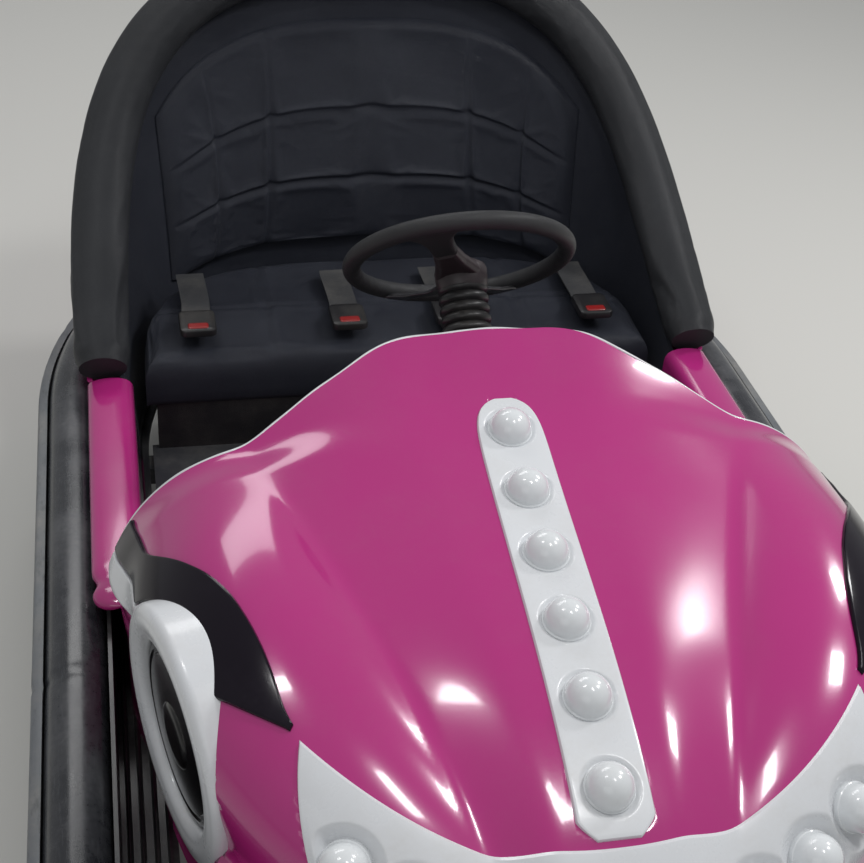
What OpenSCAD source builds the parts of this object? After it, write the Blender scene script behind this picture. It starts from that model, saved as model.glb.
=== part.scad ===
// Two-seat fairground bumper car: moulded body, rubber bumper ring, padded seat, centre drive wheel in front.
// All sizes in millimetres. The nose points to -Y, the driver's left is +X, Z is up, the floor is z = 0.

/* [Overall size] */
// Length over the bumper ring
car_length = 1950; // [1800:10:2100]
// Width over the bumper ring
car_width = 1150; // [1050:10:1250]
// Height of the top of the bumper tube
bumper_top = 290; // [260:5:320]
// Height of the bottom of the bumper tube
bumper_low = 140; // [120:5:170]

/* [Bumper ring] */
// Radius of the two side curves at the rear
rear_side_r = 700; // [600:10:900]
// Angle that each rear side curve turns through
rear_side_turn = 60; // [50:1:70]
// Radius of the two front corners
front_corner_r = 340; // [260:10:400]
// Angle that each front corner turns through
front_corner_turn = 68; // [60:1:75]
// Thickness of the pale outer band
band_wall = 14; // [8:1:20]
// Width of the rubber tube behind the band
tube_width = 79; // [60:1:100]
// Wall of the rim that carries the tube
rim_wall = 5; // [4:1:8]
// Seam between two sections of the ring
ring_seam = 0.4; // [0.2:0.1:2]

/* [Front cowl] */
// How far the body's sides stand in from the bumper's outer face
body_inset = 101; // [98:1:130]
// Length of the cowl from its rear line to the nose
cowl_len = 640; // [560:5:660]
// Gap between the bumper's outer face and the cowl's nose
nose_gap = 114; // [110:1:160]
// Height of the dashboard crest
cowl_high = 630; // [580:5:680]
// Thickness of the moulded panels
panel_wall = 8; // [5:1:12]
// How far the dashboard crest reaches back over the cockpit
dash_reach = 91; // [60:1:120]
// Height of the wings above the valley creases
wing_hump = 26; // [10:1:40]
// How far the cowl's sides are drawn in behind the wheel trims
side_tuck = 36; // [0:1:40]

/* [Lamps] */
// Half width of the white strip on the bonnet
strip_half = 41; // [35:1:50]
// Radius of each lamp dome
dome_r = 25; // [20:1:30]
// Number of domes on the bonnet strip
strip_domes = 6; // [4:1:8]
// Number of domes on the front band
front_domes = 9; // [5:2:11]

/* [Wheel trims] */
// Radius of the white ring's centre line
trim_r = 127; // [115:1:135]
// Half width of the white ring's section
trim_round = 21; // [16:1:24]

/* [Seat] */
// Height of the seat cushion's top
seat_top = 340; // [300:5:380]
// Gap between the seat cushion and the seat surround
seat_gap = 12; // [6:1:30]
// Distance of the seat surround's front from the rear of the bumper
seat_reach = 675; // [650:5:720]

/* [Steering] */
// Radius of the steering wheel's rim centre line
wheel_r = 143; // [120:1:160]
// Radius of the steering wheel's rim section
wheel_grip = 12; // [9:0.5:15]
// Lean of the steering column from the vertical
column_lean = 47.6; // [35:0.1:60]
// Radial play between the shaft and its jacket
shaft_play = 0.5; // [0.1:0.1:1]

/* [Running gear] */
// Radius of the drive wheel
drive_r = 100; // [80:1:120]
// Distance of the drive wheel's axle from the front of the bumper
drive_back = 435; // [420:5:450]
// Radius of the rear wheels
rear_r = 68; // [55:1:72]
// Distance of the rear axle from the rear of the bumper
rear_ahead = 415; // [400:5:430]
// How far the middle of each rear wheel stands in from the bumper's outer face
rear_inset = 235; // [230:5:280]
// Side play of each rear wheel on its axle
wheel_play = 3; // [1:0.5:6]

/* [Hidden] */

half_w = car_width / 2;
half_l = car_length / 2;
cowl_half = half_w - body_inset;
cowl_rear_y = nose_gap + cowl_len - half_l;
cowl_low = bumper_low + 20;
crease_w = cowl_half - 175;
ledge_in = band_wall + tube_width + 75;
rail_low = bumper_low - 28;
rail_top = bumper_low + 10;
drive_y = drive_back - half_l;
rear_y = half_l - rear_ahead;
rear_half = half_w - rear_inset;
pink = [0.8, 0.2, 0.5];
black = [0.09, 0.09, 0.1];
white = [0.92, 0.92, 0.93];
steel = [0.35, 0.36, 0.38];

function clamp01(a) = min(1, max(0, a));
function ease(a) = let(b = clamp01(a)) b * b * (3 - 2 * b);
function unit(v) = v / norm(v);
function flip(v) = [-v[0], v[1], v[2]];

// Bumper outline: straight sides, two side curves and an end curve at the rear, two corners and a nose curve
rear_end_r = rear_side_r - (rear_side_r - half_w) / cos(rear_side_turn);
rear_end_y = (rear_side_r - half_w) * tan(rear_side_turn);
rear_start = half_l - rear_end_y - rear_end_r;
nose_r = front_corner_r + (half_w - front_corner_r) / cos(front_corner_turn);
nose_y = (nose_r - front_corner_r) * sin(front_corner_turn);
front_start = -half_l - nose_y + nose_r;

// Sweeps a section round the whole outline in eight lengths; the section's x is the depth inward from the outer face
module bend(x, y, r, start, turn) {
    cut = ring_seam / r * 90 / PI;
    translate([x, y, 0]) rotate([0, 0, start + cut]) rotate_extrude(angle = turn - 2 * cut, $fn = 180)
        translate([r, 0]) mirror([1, 0]) children();
}
module ring() {
    run = rear_start - front_start - ring_seam;
    for (s = [0, 1]) translate([0, (front_start + rear_start) / 2, 0]) rotate([90, 0, 180 * s])
        translate([0, 0, -run / 2]) linear_extrude(run) translate([half_w, 0]) mirror([1, 0]) children();
    for (s = [0, 1]) {
        x = (s == 0 ? 1 : -1) * (half_w - rear_side_r);
        bend(x, rear_start, rear_side_r, s * (180 - rear_side_turn), rear_side_turn) children();
        c = (s == 0 ? 1 : -1) * (half_w - front_corner_r);
        bend(c, front_start, front_corner_r, s == 0 ? -front_corner_turn : 180, front_corner_turn) children();
    }
    bend(0, rear_start + rear_end_y, rear_end_r, rear_side_turn, 180 - 2 * rear_side_turn) children();
    bend(0, front_start + nose_y, nose_r, front_corner_turn - 180, 180 - 2 * front_corner_turn) children();
}

// Point of the rear half of the outline, at a depth inward, for a turn of 0 (side) to 90 (middle of the rear)
function rear_line(depth, turn) = turn < rear_side_turn
    ? [half_w - rear_side_r + (rear_side_r - depth) * cos(turn), rear_start + (rear_side_r - depth) * sin(turn)]
    : [(rear_end_r - depth) * cos(turn), rear_start + rear_end_y + (rear_end_r - depth) * sin(turn)];

function mean(l) = [for (l2 = l) 1] * l / len(l);
function spin_of(l, j = 0) = j == len(l) ? [0, 0, 0] : cross(l[j], l[(j + 1) % len(l)]) + spin_of(l, j + 1);
// Closed skin over a list of loops with equal counts, capped at both ends
module skin(rings) {
    m = len(rings[0]);
    k = len(rings);
    turned = spin_of(rings[0]) * (mean(rings[1]) - mean(rings[0])) > 0;
    loops = turned ? [for (l = rings) [for (j = [m - 1 : -1 : 0]) l[j]]] : rings;
    points = [for (l = loops) each l];
    sides = [for (i = [0 : k - 2], j = [0 : m - 1])
        [i * m + j, i * m + (j + 1) % m, (i + 1) * m + (j + 1) % m, (i + 1) * m + j]];
    first = [[for (j = [m - 1 : -1 : 0]) j]];
    last = [[for (j = [0 : m - 1]) (k - 1) * m + j]];
    polyhedron(points, concat(sides, first, last), convexity = 8);
}

// Closed slab between an upper and a lower grid of points
module slab(top, low) {
    skin([for (i = [0 : len(top) - 1]) concat(top[i], [for (j = [len(low[i]) - 1 : -1 : 0]) low[i][j]])]);
}

// Bonnet centre line: height for a position along Y
function spine(y) = let(s = cowl_rear_y + dash_reach - y)
    cowl_high - 0.4596 * s + 0.0008638 * s * s - 0.0000009105 * s * s * s;
function crease_x(y) = crease_w + 0.322 * (y - cowl_rear_y);
function flat_x(y) = 109 + 0.08 * (y - cowl_rear_y);
function crease_drop(y) = 20 + 11 * ease((y - cowl_rear_y + 60) / 60);
function hump(y) = 4 + wing_hump * sin(180 * clamp01((cowl_rear_y - y) / 640));
// Height field of the bonnet and the wings, before the edges fall away
function crown(x, y) = let(a = abs(x), c = crease_x(y), f = flat_x(y), base = spine(y) - crease_drop(y))
    a < c ? base + crease_drop(y) * (1 - ease((a - f) / (c - f)) * 0.35 - clamp01((a - f) / (c - f)) * 0.65)
    : base + hump(y) * sin(180 * pow(clamp01((a - c) / (cowl_half - c + 20)), 0.75));
function dash_back(x) = dash_reach * clamp01((crease_w - abs(x)) / 190);
cowl_p = 2.25;
function fall_n(q) = 3.5 + 8.5 * q;
function tuck(a, h) = side_tuck * ease((a - 3) / 15) * (1 - ease((a - 38) / 24)) * ease((0.8 - h) / 0.3);
// Point of the cowl for a plan angle, a fraction of the way to the foot and a depth under the skin
function cowl_pt(turn, r, off) =
    let(w = cowl_half - off, l = cowl_len - off,
        rho = 1 / pow(pow(abs(cos(turn)) / w, cowl_p) + pow(max(0, sin(turn)) / l, cowl_p), 1 / cowl_p),
        x = r * rho * cos(turn), f = r * rho * sin(turn), q = pow(sin(turn), 2), n = fall_n(q),
        h = pow(max(0, 1 - pow(r, n)), 1 / n),
        y = cowl_rear_y - f + dash_back(x) * clamp01(1 - f / 260),
        z = cowl_low + (crown(x, y) - off - cowl_low) * h)
    [x * (1 + 0.03 * clamp01((h - 0.3) / 0.15) * cos(turn) * cos(turn) - tuck(min(turn, 180 - turn), h) / w), y, z];
// Height of the cowl over a plan position
function cowl_z(x, y, off = 0) =
    let(e = dash_back(x), f0 = (cowl_rear_y + e - y) / (1 + e / 260), f = f0 < 260 ? f0 : cowl_rear_y - y,
        w = cowl_half - off, l = cowl_len - off,
        r = pow(pow(abs(x) / w, cowl_p) + pow(max(0, f) / l, cowl_p), 1 / cowl_p),
        q = f * f / (f * f + x * x + 0.01), n = fall_n(q), h = pow(max(0, 1 - pow(min(r, 1), n)), 1 / n))
    cowl_low + (crown(x, y) - off - cowl_low) * h;
// Point of the cowl's side or nose for a plan angle and a height, found by two corrections
function cowl_r(turn, z, r0) = let(p = cowl_pt(turn, r0, 0), n = fall_n(pow(sin(turn), 2)),
    c = crown(p[0], p[1]), h = min(0.985, clamp01((z - cowl_low) / (c - cowl_low)))) pow(1 - pow(h, n), 1 / n);
// Point on the skin pushed out along the skin's own normal
function cowl_off(turn, r, off) = let(p = cowl_pt(turn, r, 0), dt = cowl_pt(turn + 0.5, r, 0) - cowl_pt(turn - 0.5, r, 0),
    dr = cowl_pt(turn, min(0.9995, r + 0.003), 0) - cowl_pt(turn, r - 0.003, 0)) p + off * unit(cross(dt, dr));
function cowl_at(turn, z, off = 0) =
    let(r1 = cowl_r(turn, z, 0.9), r2 = cowl_r(turn, z, r1), r3 = cowl_r(turn, z, r2)) cowl_off(turn, r3, off);

module cowl_shell() {
    m = 48;
    k = 14;
    rs = [for (j = [1 : k]) 1 - pow(1 - j / k, 1.7)];
    function at(j, i, side) = side * (1 + k * (m + 1)) + (j == 0 ? 0 : 1 + (j - 1) * (m + 1) + i);
    points = [for (side = [0, 1]) each concat([cowl_pt(90, 0, side * panel_wall)],
        [for (r = rs, i = [0 : m]) cowl_pt(180 * i / m, r, side * panel_wall)])];
    faces = concat(
        [for (i = [0 : m - 1]) [at(0, 0, 0), at(1, i, 0), at(1, i + 1, 0)]],
        [for (i = [0 : m - 1]) [at(0, 0, 1), at(1, i + 1, 1), at(1, i, 1)]],
        [for (j = [1 : k - 1], i = [0 : m - 1]) [at(j, i, 0), at(j + 1, i, 0), at(j + 1, i + 1, 0), at(j, i + 1, 0)]],
        [for (j = [1 : k - 1], i = [0 : m - 1]) [at(j, i + 1, 1), at(j + 1, i + 1, 1), at(j + 1, i, 1), at(j, i, 1)]],
        [for (i = [0 : m - 1]) [at(k, i, 0), at(k, i, 1), at(k, i + 1, 1), at(k, i + 1, 0)]],
        [for (j = [0 : k - 1]) [at(j + 1, 0, 0), at(j, 0, 0), at(j, 0, 1), at(j + 1, 0, 1)]],
        [for (j = [0 : k - 1]) [at(j, m, 0), at(j + 1, m, 0), at(j + 1, m, 1), at(j, m, 1)]]);
    polyhedron(points, faces, convexity = 10);
}

// White strip along the bonnet
strip_top_y = cowl_rear_y - 6;
strip_len = 548;
function strip_y(v) = strip_top_y - strip_len * v;
function strip_w(v) = strip_half * pow(max(0.02, 1 - pow(abs(2 * v - 1), 14)), 0.5);
function strip_grid(off, grow) = [for (i = [0 : 18]) let(v = i / 18)
    [for (u = [-1, -0.5, 0, 0.5, 1]) let(x = u * (strip_w(v) + grow), y = strip_y(v)) [x, y, cowl_z(x, y) + off]]];
module strip_slab(low, high, grow = 0) { slab(strip_grid(high, grow), strip_grid(low, grow)); }
function strip_dome(i) = let(y = strip_y((i + 0.5) / strip_domes), dy = (cowl_z(0, y - 5) - cowl_z(0, y + 5)) / -10)
    [[0, y, cowl_z(0, y)], atan(dy)];

// White band across the nose, from the bonnet's front edge down the nose face
band_turn = 55.6;
band_rake = 7.4;
band_r = 0.875;
band_foot = cowl_low + 175;
function band_at(t, v, off) = let(a = 90 - t * (90 - band_turn - band_rake * v), n = fall_n(pow(sin(a), 2)),
    c = crown(cowl_pt(a, 0.95, 0)[0], cowl_pt(a, 0.95, 0)[1]), h = (band_foot + 15 * t * t - cowl_low) / (c - cowl_low),
    s1 = asin(pow(band_r, n / 2)), s2 = acos(pow(h, n / 2)), s = s1 + (s2 - s1) * v) cowl_off(a, pow(sin(s), 2 / n), off);
function band_grid(off, g) = [for (i = [0 : 24]) [for (k = [0 : 5]) band_at((i / 12 - 1) * (1 + g), k / 5 * (1 + 2 * g) - g, off)]];
module band_slab(low, high, g = 0) { slab(band_grid(high, g), band_grid(low, g)); }
function band_spot(i) = ((i - (front_domes - 1) / 2) / ((front_domes - 1) / 2)) * 0.86;
// Pink lip that stands out under the band
function lip_loop(t) = let(a = 90 - t * 50, p = cowl_at(a, cowl_low + 154, -6), o = [cos(a) * 1.2, -sin(a), 0],
    w = 6 + 32 * pow(1 - t * t, 0.4)) [for (k = [0 : 8]) p + w * cos(40 * k) * unit(o) + [0, 0, 17 * sin(40 * k)]];
module nose_lip() { skin([for (i = [-15 : 15]) lip_loop(i / 15.4)]); }

// Wheel trim pods on the sides of the wings
pod_pos = [cowl_half - 61, cowl_rear_y - 287, cowl_low + 208];
pod_yaw = -15;
pod_lift = -1;
module pod_place() {
    for (s = [0, 1]) mirror([s, 0, 0]) translate(pod_pos) rotate([0, 0, pod_yaw]) rotate([0, 90 - pod_lift, 0])
        children();
}

module dome() {
    rotate_extrude($fn = 48) difference() {
        union() {
            translate([0, 2]) circle(r = dome_r, $fn = 48);
            translate([0, -3.4]) square([dome_r, 6]);
        }
        translate([-2 * dome_r, -60]) square([2 * dome_r, 120]);
        translate([0, -60]) square([2 * dome_r, 56.6]);
    }
}
module dome_hole() { translate([0, 0, -14]) cylinder(r = dome_r + 0.4, h = 40, $fn = 28); }
module strip_domes_place() {
    for (i = [0 : strip_domes - 1]) let(d = strip_dome(i)) translate(d[0]) rotate([d[1], 0, 0]) children();
}
module band_domes_place() {
    for (i = [0 : front_domes - 1]) let(t = band_spot(i), p = band_at(t, 0.5, 0), n = band_at(t, 0.5, 1) - p)
        translate(p) rotate([0, acos(n[2]), atan2(n[1], n[0])]) children();
}

module front_cowl() {
    color(pink) resize([0, 0, 0]) difference() {
        union() {
            cowl_shell();
            nose_lip();
        }
        strip_slab(-5.4, 12, 0.5);
        band_slab(-5.4, 14, 0.004);
        pod_hole();
    }
}
module hood_light_strip() {
    color(white) resize([0, 0, 0]) difference() {
        strip_slab(-5, 3);
        strip_domes_place() dome_hole();
    }
}
module hood_lamps() {
    color(white) strip_domes_place() dome();
}
module front_light_band() {
    color(white) resize([0, 0, 0]) difference() {
        band_slab(-5, 3);
        band_domes_place() dome_hole();
    }
}
module front_lamps() {
    color(white) band_domes_place() dome();
}

module bumper_tyre() {
    r = tube_width / 2;
    rise = (bumper_top - bumper_low) / 2 - r;
    color(black) ring() translate([band_wall + r, (bumper_top + bumper_low) / 2])
        polygon([for (i = [0 : 23]) let(a = 15 * i) [r * cos(a), r * sin(a) + (i == 0 || i == 12 ? 0 : rise * sign(sin(a)))]]);
}
module bumper_band() {
    color([0.75, 0.76, 0.78]) ring() translate([0, bumper_low + 20]) square([band_wall, 105]);
}
module bumper_rim() {
    d = band_wall + tube_width;
    color(black) ring() {
        translate([d, cowl_low]) square([rim_wall, 115]);
        translate([d, bumper_low + 10]) square([rim_wall, 11]);
    }
}
module bumper_ledge() {
    d = band_wall + tube_width + rim_wall + 0.1;
    color(black) ring() {
        translate([d, bumper_low + 10]) square([ledge_in - d, 9.8]);
    }
}

// Padded hoop: a curve from the sills up and back over the seat
tub_front = half_l - seat_reach;
hoop_ctrl = [[cowl_half, tub_front, 330], [cowl_half, half_l - 275, 500], [cowl_half - 24, half_l - 135, 800],
    [0, half_l - 165, 800]];
pad_out = 43;
pad_deep = 34;
pad_flat = 28;
function hoop_half(u) = pow(1 - u, 3) * hoop_ctrl[0] + 3 * pow(1 - u, 2) * u * hoop_ctrl[1]
    + 3 * (1 - u) * u * u * hoop_ctrl[2] + pow(u, 3) * hoop_ctrl[3];
function hoop_c(t) = t < 0 ? hoop_half(1 + t) : flip(hoop_half(1 - t));
function hoop_t(t) = unit(hoop_c(min(1, t + 0.01)) - hoop_c(max(-1, t - 0.01)));
function hoop_n(t) = let(v = hoop_c(t) - [0, tub_front + 100, 350], a = hoop_t(t)) unit(v - (v * a) * a);
function hoop_b(t) = cross(hoop_t(t), hoop_n(t));
function hoop_at(t, n, b) = hoop_c(t) + n * hoop_n(t) + b * hoop_b(t);
module hoop_pad() {
    color(black) skin([for (i = [-16 : 16]) let(t = i / 16)
        [for (k = [0 : 15]) let(a = 22.5 * k) hoop_at(t, pad_out * cos(a), min(pad_flat, pad_deep * sin(a)))]]);
}

// Pink shell outside the hoop, from the rim's ledge to the underside of the pad
function shell_loop(t) =
    let(turn = 90 * (1 - abs(t)), side = t > 0 ? -1 : 1, d = band_wall + tube_width + rim_wall + 3,
        base = rear_line(d, turn), out = rear_line(d - 24, turn) - base, o = unit(out),
        q0 = [side * base[0], base[1], cowl_low], q1 = q0 + [0, 0, 114],
        q2 = [side * (base[0] + out[0]), base[1] + out[1], bumper_top + 13], q5 = hoop_at(t, 24, pad_flat + 0.5),
        q3 = q2 * 0.66 + q5 * 0.34 + [side * o[0] * 14, o[1] * 14, 0] * (1 - abs(t)),
        q4 = q2 * 0.33 + q5 * 0.67 + [side * o[0] * 14, o[1] * 14, 0] * (1 - abs(t)), w = panel_wall,
        back = [-side * o[0] * w, -o[1] * w, 0], qi = hoop_at(t, 24 - w, pad_flat + 0.5))
    [q0, q1, q2, q3, q4, q5, qi, q4 + back, q3 + back, q2 + back, q1 + back, q0 + back];
module rear_shell() {
    color(pink) skin([for (i = [-16 : 16]) shell_loop(i / 16)]);
}

// Black tub inside the hoop, from the floor to the underside of the pad
tub_wall = 8;
tub_bow = 4;
tub_half = cowl_half - 49;
tub_deep = seat_reach - 315;
function tub_foot(t) = let(turn = 90 * (1 - abs(t)), side = t > 0 ? -1 : 1)
    [side * tub_half * pow(cos(turn), 0.55), tub_front + tub_deep * pow(sin(turn), 0.7), cowl_low];
function tub_at(t, v, off) = let(a = tub_foot(t), b = hoop_at(t, -34, pad_flat + 0.5), o = hoop_n(t),
    p = a * (1 - v) + b * v - tub_bow * sin(180 * v) * o, flat = unit([o[0], o[1], 0.001]))
    p + off * flat * (1 - v) + off * o * v;
module seat_surround() {
    color([0.1, 0.11, 0.15]) skin([for (i = [-16 : 16]) let(t = i / 16)
        concat([for (k = [0 : 4]) tub_at(t, k / 4, 0)], [for (k = [4 : -1 : 0]) tub_at(t, k / 4, tub_wall)])]);
}
module seat_back() {
    n = 8;
    color([0.1, 0.11, 0.15]) skin([for (i = [-n : n]) let(t = i / 16, e = pow(max(0, 1 - pow(abs(i / n), 4)), 0.5))
        concat([for (k = [0 : 6]) tub_at(t, 0.31 + 0.1 * k, -1.4)],
            [for (k = [6 : -1 : 0]) tub_at(t, 0.31 + 0.1 * k, -2 - 58 * e * pow(sin(20 + 140 * k / 6), 0.5))])]);
}
function cushion_plan(inset) = concat([[tub_half - inset, tub_front + 25]],
    [for (i = [-18 : 18]) let(p = tub_foot(i / 20)) p[1] > tub_front + 30 ? [p[0] * (1 - inset / (tub_half - 25)), p[1] - inset]
        : [sign(p[0]) * (tub_half - inset), tub_front + 26]], [[inset - tub_half, tub_front + 25]]);
module seat_cushion() {
    color([0.1, 0.11, 0.15]) translate([0, 0, seat_top - 100]) {
        linear_extrude(82) polygon(cushion_plan(seat_gap));
        translate([0, 0, 82]) linear_extrude(18) polygon(cushion_plan(seat_gap + 14));
    }
}
module seat_box() {
    z = seat_top - 100;
    w = tub_half - 30;
    low = rail_top + 4.9;
    color(black) {
        translate([-w, tub_front + 30, low]) cube([2 * w, 8, z - low]);
        translate([65 - w, tub_front + 38, z - 10]) cube([2 * w - 130, 200, 10]);
        for (s = [-1, 1]) translate([s * (w - 95) - 5, tub_front + 38, low]) cube([10, 200, z - low - 10]);
    }
}
module belt_straps() {
    color([0.12, 0.12, 0.13]) for (s = [-1, 1]) for (k = [-1, 1])
        translate([s * (tub_half - 220) + k * 120 - 23, tub_front + 70, seat_top]) cube([46, 190, 3]);
}
module belt_buckles() {
    color([0.7, 0.1, 0.1]) for (s = [-1, 1]) for (k = [-1, 1])
        translate([s * (tub_half - 220) + k * 120 - 30, tub_front + 55, seat_top + 3]) cube([60, 70, 14]);
}

module side_sills() {
    color(pink) for (s = [0, 1]) mirror([s, 0, 0]) {
        translate([cowl_half, tub_front - 1, cowl_low]) rotate([90, 0, 0])
            linear_extrude(tub_front - 12 - cowl_rear_y) polygon([[-44, 0], [-36, 0], [-36, 140], [-24, 144], [4, 144],
            [15, 140], [17, 133], [25, 133], [24, 142], [16, 150], [4, 152], [-26, 152], [-40, 148], [-44, 140]]);
    }
}

// Solid under the cowl's skin, used to trim what stands beneath it
module under_cowl(off) {
    m = 40;
    k = 14;
    skin([for (i = [1 : m - 1]) let(x = -cowl_half + 2 * cowl_half * i / m)
        concat([for (j = [0 : k]) let(y = cowl_rear_y + dash_back(x) + 20 - (cowl_len - 30) * j / k)
            [x, y, max(cowl_low + 1, cowl_z(x, y, off))]], [[x, cowl_rear_y - cowl_len + 60, cowl_low],
            [x, cowl_rear_y + dash_back(x) + 20, cowl_low]])]);
}
module dash_panel() {
    d = cowl_rear_y + dash_reach - 20;
    color(black) resize([0, 0, 0]) difference() {
        intersection() {
            translate([0, 0, 405]) linear_extrude(260) polygon([[-110, d], [110, d], [crease_w - 3, d - 92],
                [crease_w - 3, d - 100], [108, d - 8], [-108, d - 8], [3 - crease_w, d - 100], [3 - crease_w, d - 92]]);
            under_cowl(panel_wall + 2);
        }
        column_place() translate([0, 0, -600]) cylinder(r = 26.1, h = 560, $fn = 48);
    }
}
module cowl_edge_trim() {
    function edge(i) = cowl_pt(i < 0 ? 0 : 180, abs(i) / 20, 0);
    color(white) {
        skin([for (i = [-20 : 20]) let(p = edge(i))
            [for (k = [0 : 5]) p + [0, 5.6 + 4 * cos(60 * k), -3 + 4 * sin(60 * k)]]]);
        resize([0, 0, 0]) difference() {
            for (s = [0, 1]) mirror([s, 0, 0]) slab(stripe_grid(4.5), stripe_grid(1.5));
            pod_hole();
        }
    }
}

// Frame of the steering column: origin at the wheel's centre, Z along the column towards the driver
wheel_pos = [0, cowl_rear_y + 256, cowl_high + 11];
module column_place() { translate(wheel_pos) rotate([-column_lean, 0, 0]) children(); }
module wheel_rim() {
    color(black) column_place() rotate_extrude($fn = 96) translate([wheel_r, 0]) circle(r = wheel_grip, $fn = 32);
}
module wheel_spokes() {
    color(steel) column_place() difference() {
        union() {
            translate([0, 0, -26]) cylinder(r = 34, h = 22, $fn = 48);
            translate([0, 0, -4]) cylinder(r = 22, h = 12, $fn = 48);
            rotate([0, 0, 154]) translate([-24, 20, -16]) cube([48, wheel_r - 30, 8]);
            for (a = [28, -38]) rotate([0, 0, a]) translate([-11, 20, -15]) cube([22, wheel_r - 28, 5]);
        }
        translate([0, 0, -60]) cylinder(r = 9, h = 50, $fn = 48);
        rotate_extrude($fn = 96) translate([wheel_r, 0]) circle(r = wheel_grip, $fn = 32);
    }
}
module steering_shaft() {
    color(steel) column_place() {
        translate([0, 0, -530]) cylinder(r = 9, h = 520, $fn = 48);
        translate([0, 0, -36]) cylinder(r = 14, h = 10, $fn = 48);
    }
}
module column_jacket() {
    color(black) column_place() difference() {
        union() {
            translate([0, 0, -440]) cylinder(r = 18, h = 400, $fn = 48);
            translate([0, 0, -290]) cylinder(r = 26, h = 40, $fn = 48);
        }
        translate([0, 0, -450]) cylinder(r = 9 + shaft_play, h = 420, $fn = 48);
    }
}
module column_boot() {
    color(black) column_place() rotate_extrude($fn = 64) polygon(concat([[18.3, -42], [18.3, -128]],
        [for (i = [0 : 12]) [i % 2 == 0 ? 32 - i * 0.2 : 25, -128 + i * 7]], [[28, -42]]));
}
module steering_gear() {
    color(steel) difference() {
        translate([-55, drive_y - 100, 246.1]) cube([110, 300, 40.9]);
        translate([-47, drive_y - 92, 240]) cube([94, 200, 40]);
        column_place() translate([0, 0, -600]) cylinder(r = 9 + shaft_play, h = 300, $fn = 48);
    }
}
module turret() {
    color(steel) translate([0, drive_y, 0]) difference() {
        union() {
            translate([0, 0, 236]) cylinder(r = 182, h = 10, $fn = 96);
            difference() {
                union() {
                    translate([0, 0, rail_top + 0.1]) cylinder(r = 182, h = 236.9 - rail_top, $fn = 96);
                    translate([0, 0, rail_top + 0.1]) cylinder(r = 204, h = 6, $fn = 96);
                }
                translate([0, 0, rail_top - 10]) cylinder(r = 174, h = 246 - rail_top, $fn = 96);
            }
            translate([0, 0, 222]) cylinder(r = 40, h = 15, $fn = 48);
        }
        translate([0, 0, 200]) cylinder(r = 22.06, h = 60, $fn = 48);
    }
}
module drive_fork() {
    color(steel) translate([0, drive_y, 0]) difference() {
        union() {
            translate([0, 0, 206]) cylinder(r = 22, h = 60, $fn = 48);
            translate([0, 0, 206]) cylinder(r = 90, h = 11, $fn = 64);
            translate([0, 0, 256]) cylinder(r = 40, h = 8, $fn = 48);
            for (s = [-1, 1]) translate([s * 43 - 5, -32, drive_r - 30]) cube([10, 64, 206 - drive_r + 30]);
        }
        translate([-80, 0, drive_r]) rotate([0, 90, 0]) cylinder(r = 10.06, h = 160, $fn = 48);
    }
}
module drive_motor() {
    color(black) translate([48, drive_y, 148]) rotate([0, 90, 0]) {
        cylinder(r = 40, h = 82, $fn = 64);
        translate([0, 0, 82]) cylinder(r = 32, h = 10, $fn = 64);
    }
}
module drive_hub() {
    color(steel) translate([0, drive_y, drive_r]) rotate([0, 90, 0]) {
        translate([0, 0, -47]) cylinder(r = 10, h = 94, $fn = 48);
        translate([0, 0, -28]) cylinder(r = 62, h = 56, $fn = 64);
    }
}
module tyre_shape(r, ri, w) {
    rotate_extrude($fn = 96) {
        translate([ri, -w / 2]) square([r - ri - 8, w]);
        translate([r - 8, 8 - w / 2]) square([8, w - 16]);
        for (s = [-1, 1]) translate([r - 8, s * (w / 2 - 8)]) circle(r = 8, $fn = 32);
    }
}
module drive_tyre() {
    color(black) translate([0, drive_y, drive_r]) rotate([0, 90, 0]) tyre_shape(drive_r, 62, 60);
}
module rear_axle() {
    color(steel) {
        translate([-rear_half - 40, rear_y, rear_r]) rotate([0, 90, 0]) cylinder(r = 10, h = 2 * rear_half + 80, $fn = 48);
        for (s = [-1, 1]) {
            translate([s * 200 - 5, rear_y - 30, rear_r - 20]) cube([10, 60, rail_low - 0.1 - rear_r + 20]);
            for (k = [-1, 1]) translate([s * rear_half + k * (25 + wheel_play + 5) - 5, rear_y, rear_r])
                rotate([0, 90, 0]) cylinder(r = 16, h = 10, $fn = 48);
        }
    }
}
module rear_hub(s) {
    color(steel) translate([s * rear_half, rear_y, rear_r]) rotate([0, 90, 0]) difference() {
        union() {
            translate([0, 0, -25]) cylinder(r = 20, h = 50, $fn = 48);
            translate([0, 0, -12]) cylinder(r = 42, h = 24, $fn = 64);
        }
        translate([0, 0, -40]) cylinder(r = 10.06, h = 80, $fn = 48);
    }
}
module rear_tyre(s) {
    color(black) translate([s * rear_half, rear_y, rear_r]) rotate([0, 90, 0]) tyre_shape(rear_r, 42, 44);
}
module rear_hub_left() { rear_hub(1); }
module rear_hub_right() { rear_hub(-1); }
module rear_tyre_left() { rear_tyre(1); }
module rear_tyre_right() { rear_tyre(-1); }

module chassis_rails() {
    color(steel) for (s = [-1, 1]) {
        translate([s * 200 - 20, 165 - half_l, rail_low]) cube([40, car_length - 360, rail_top - rail_low]);
        translate([s * 200 - 18, cowl_rear_y + 81, rail_low - 8]) cube([36, 80, 9]);
    }
}
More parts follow.
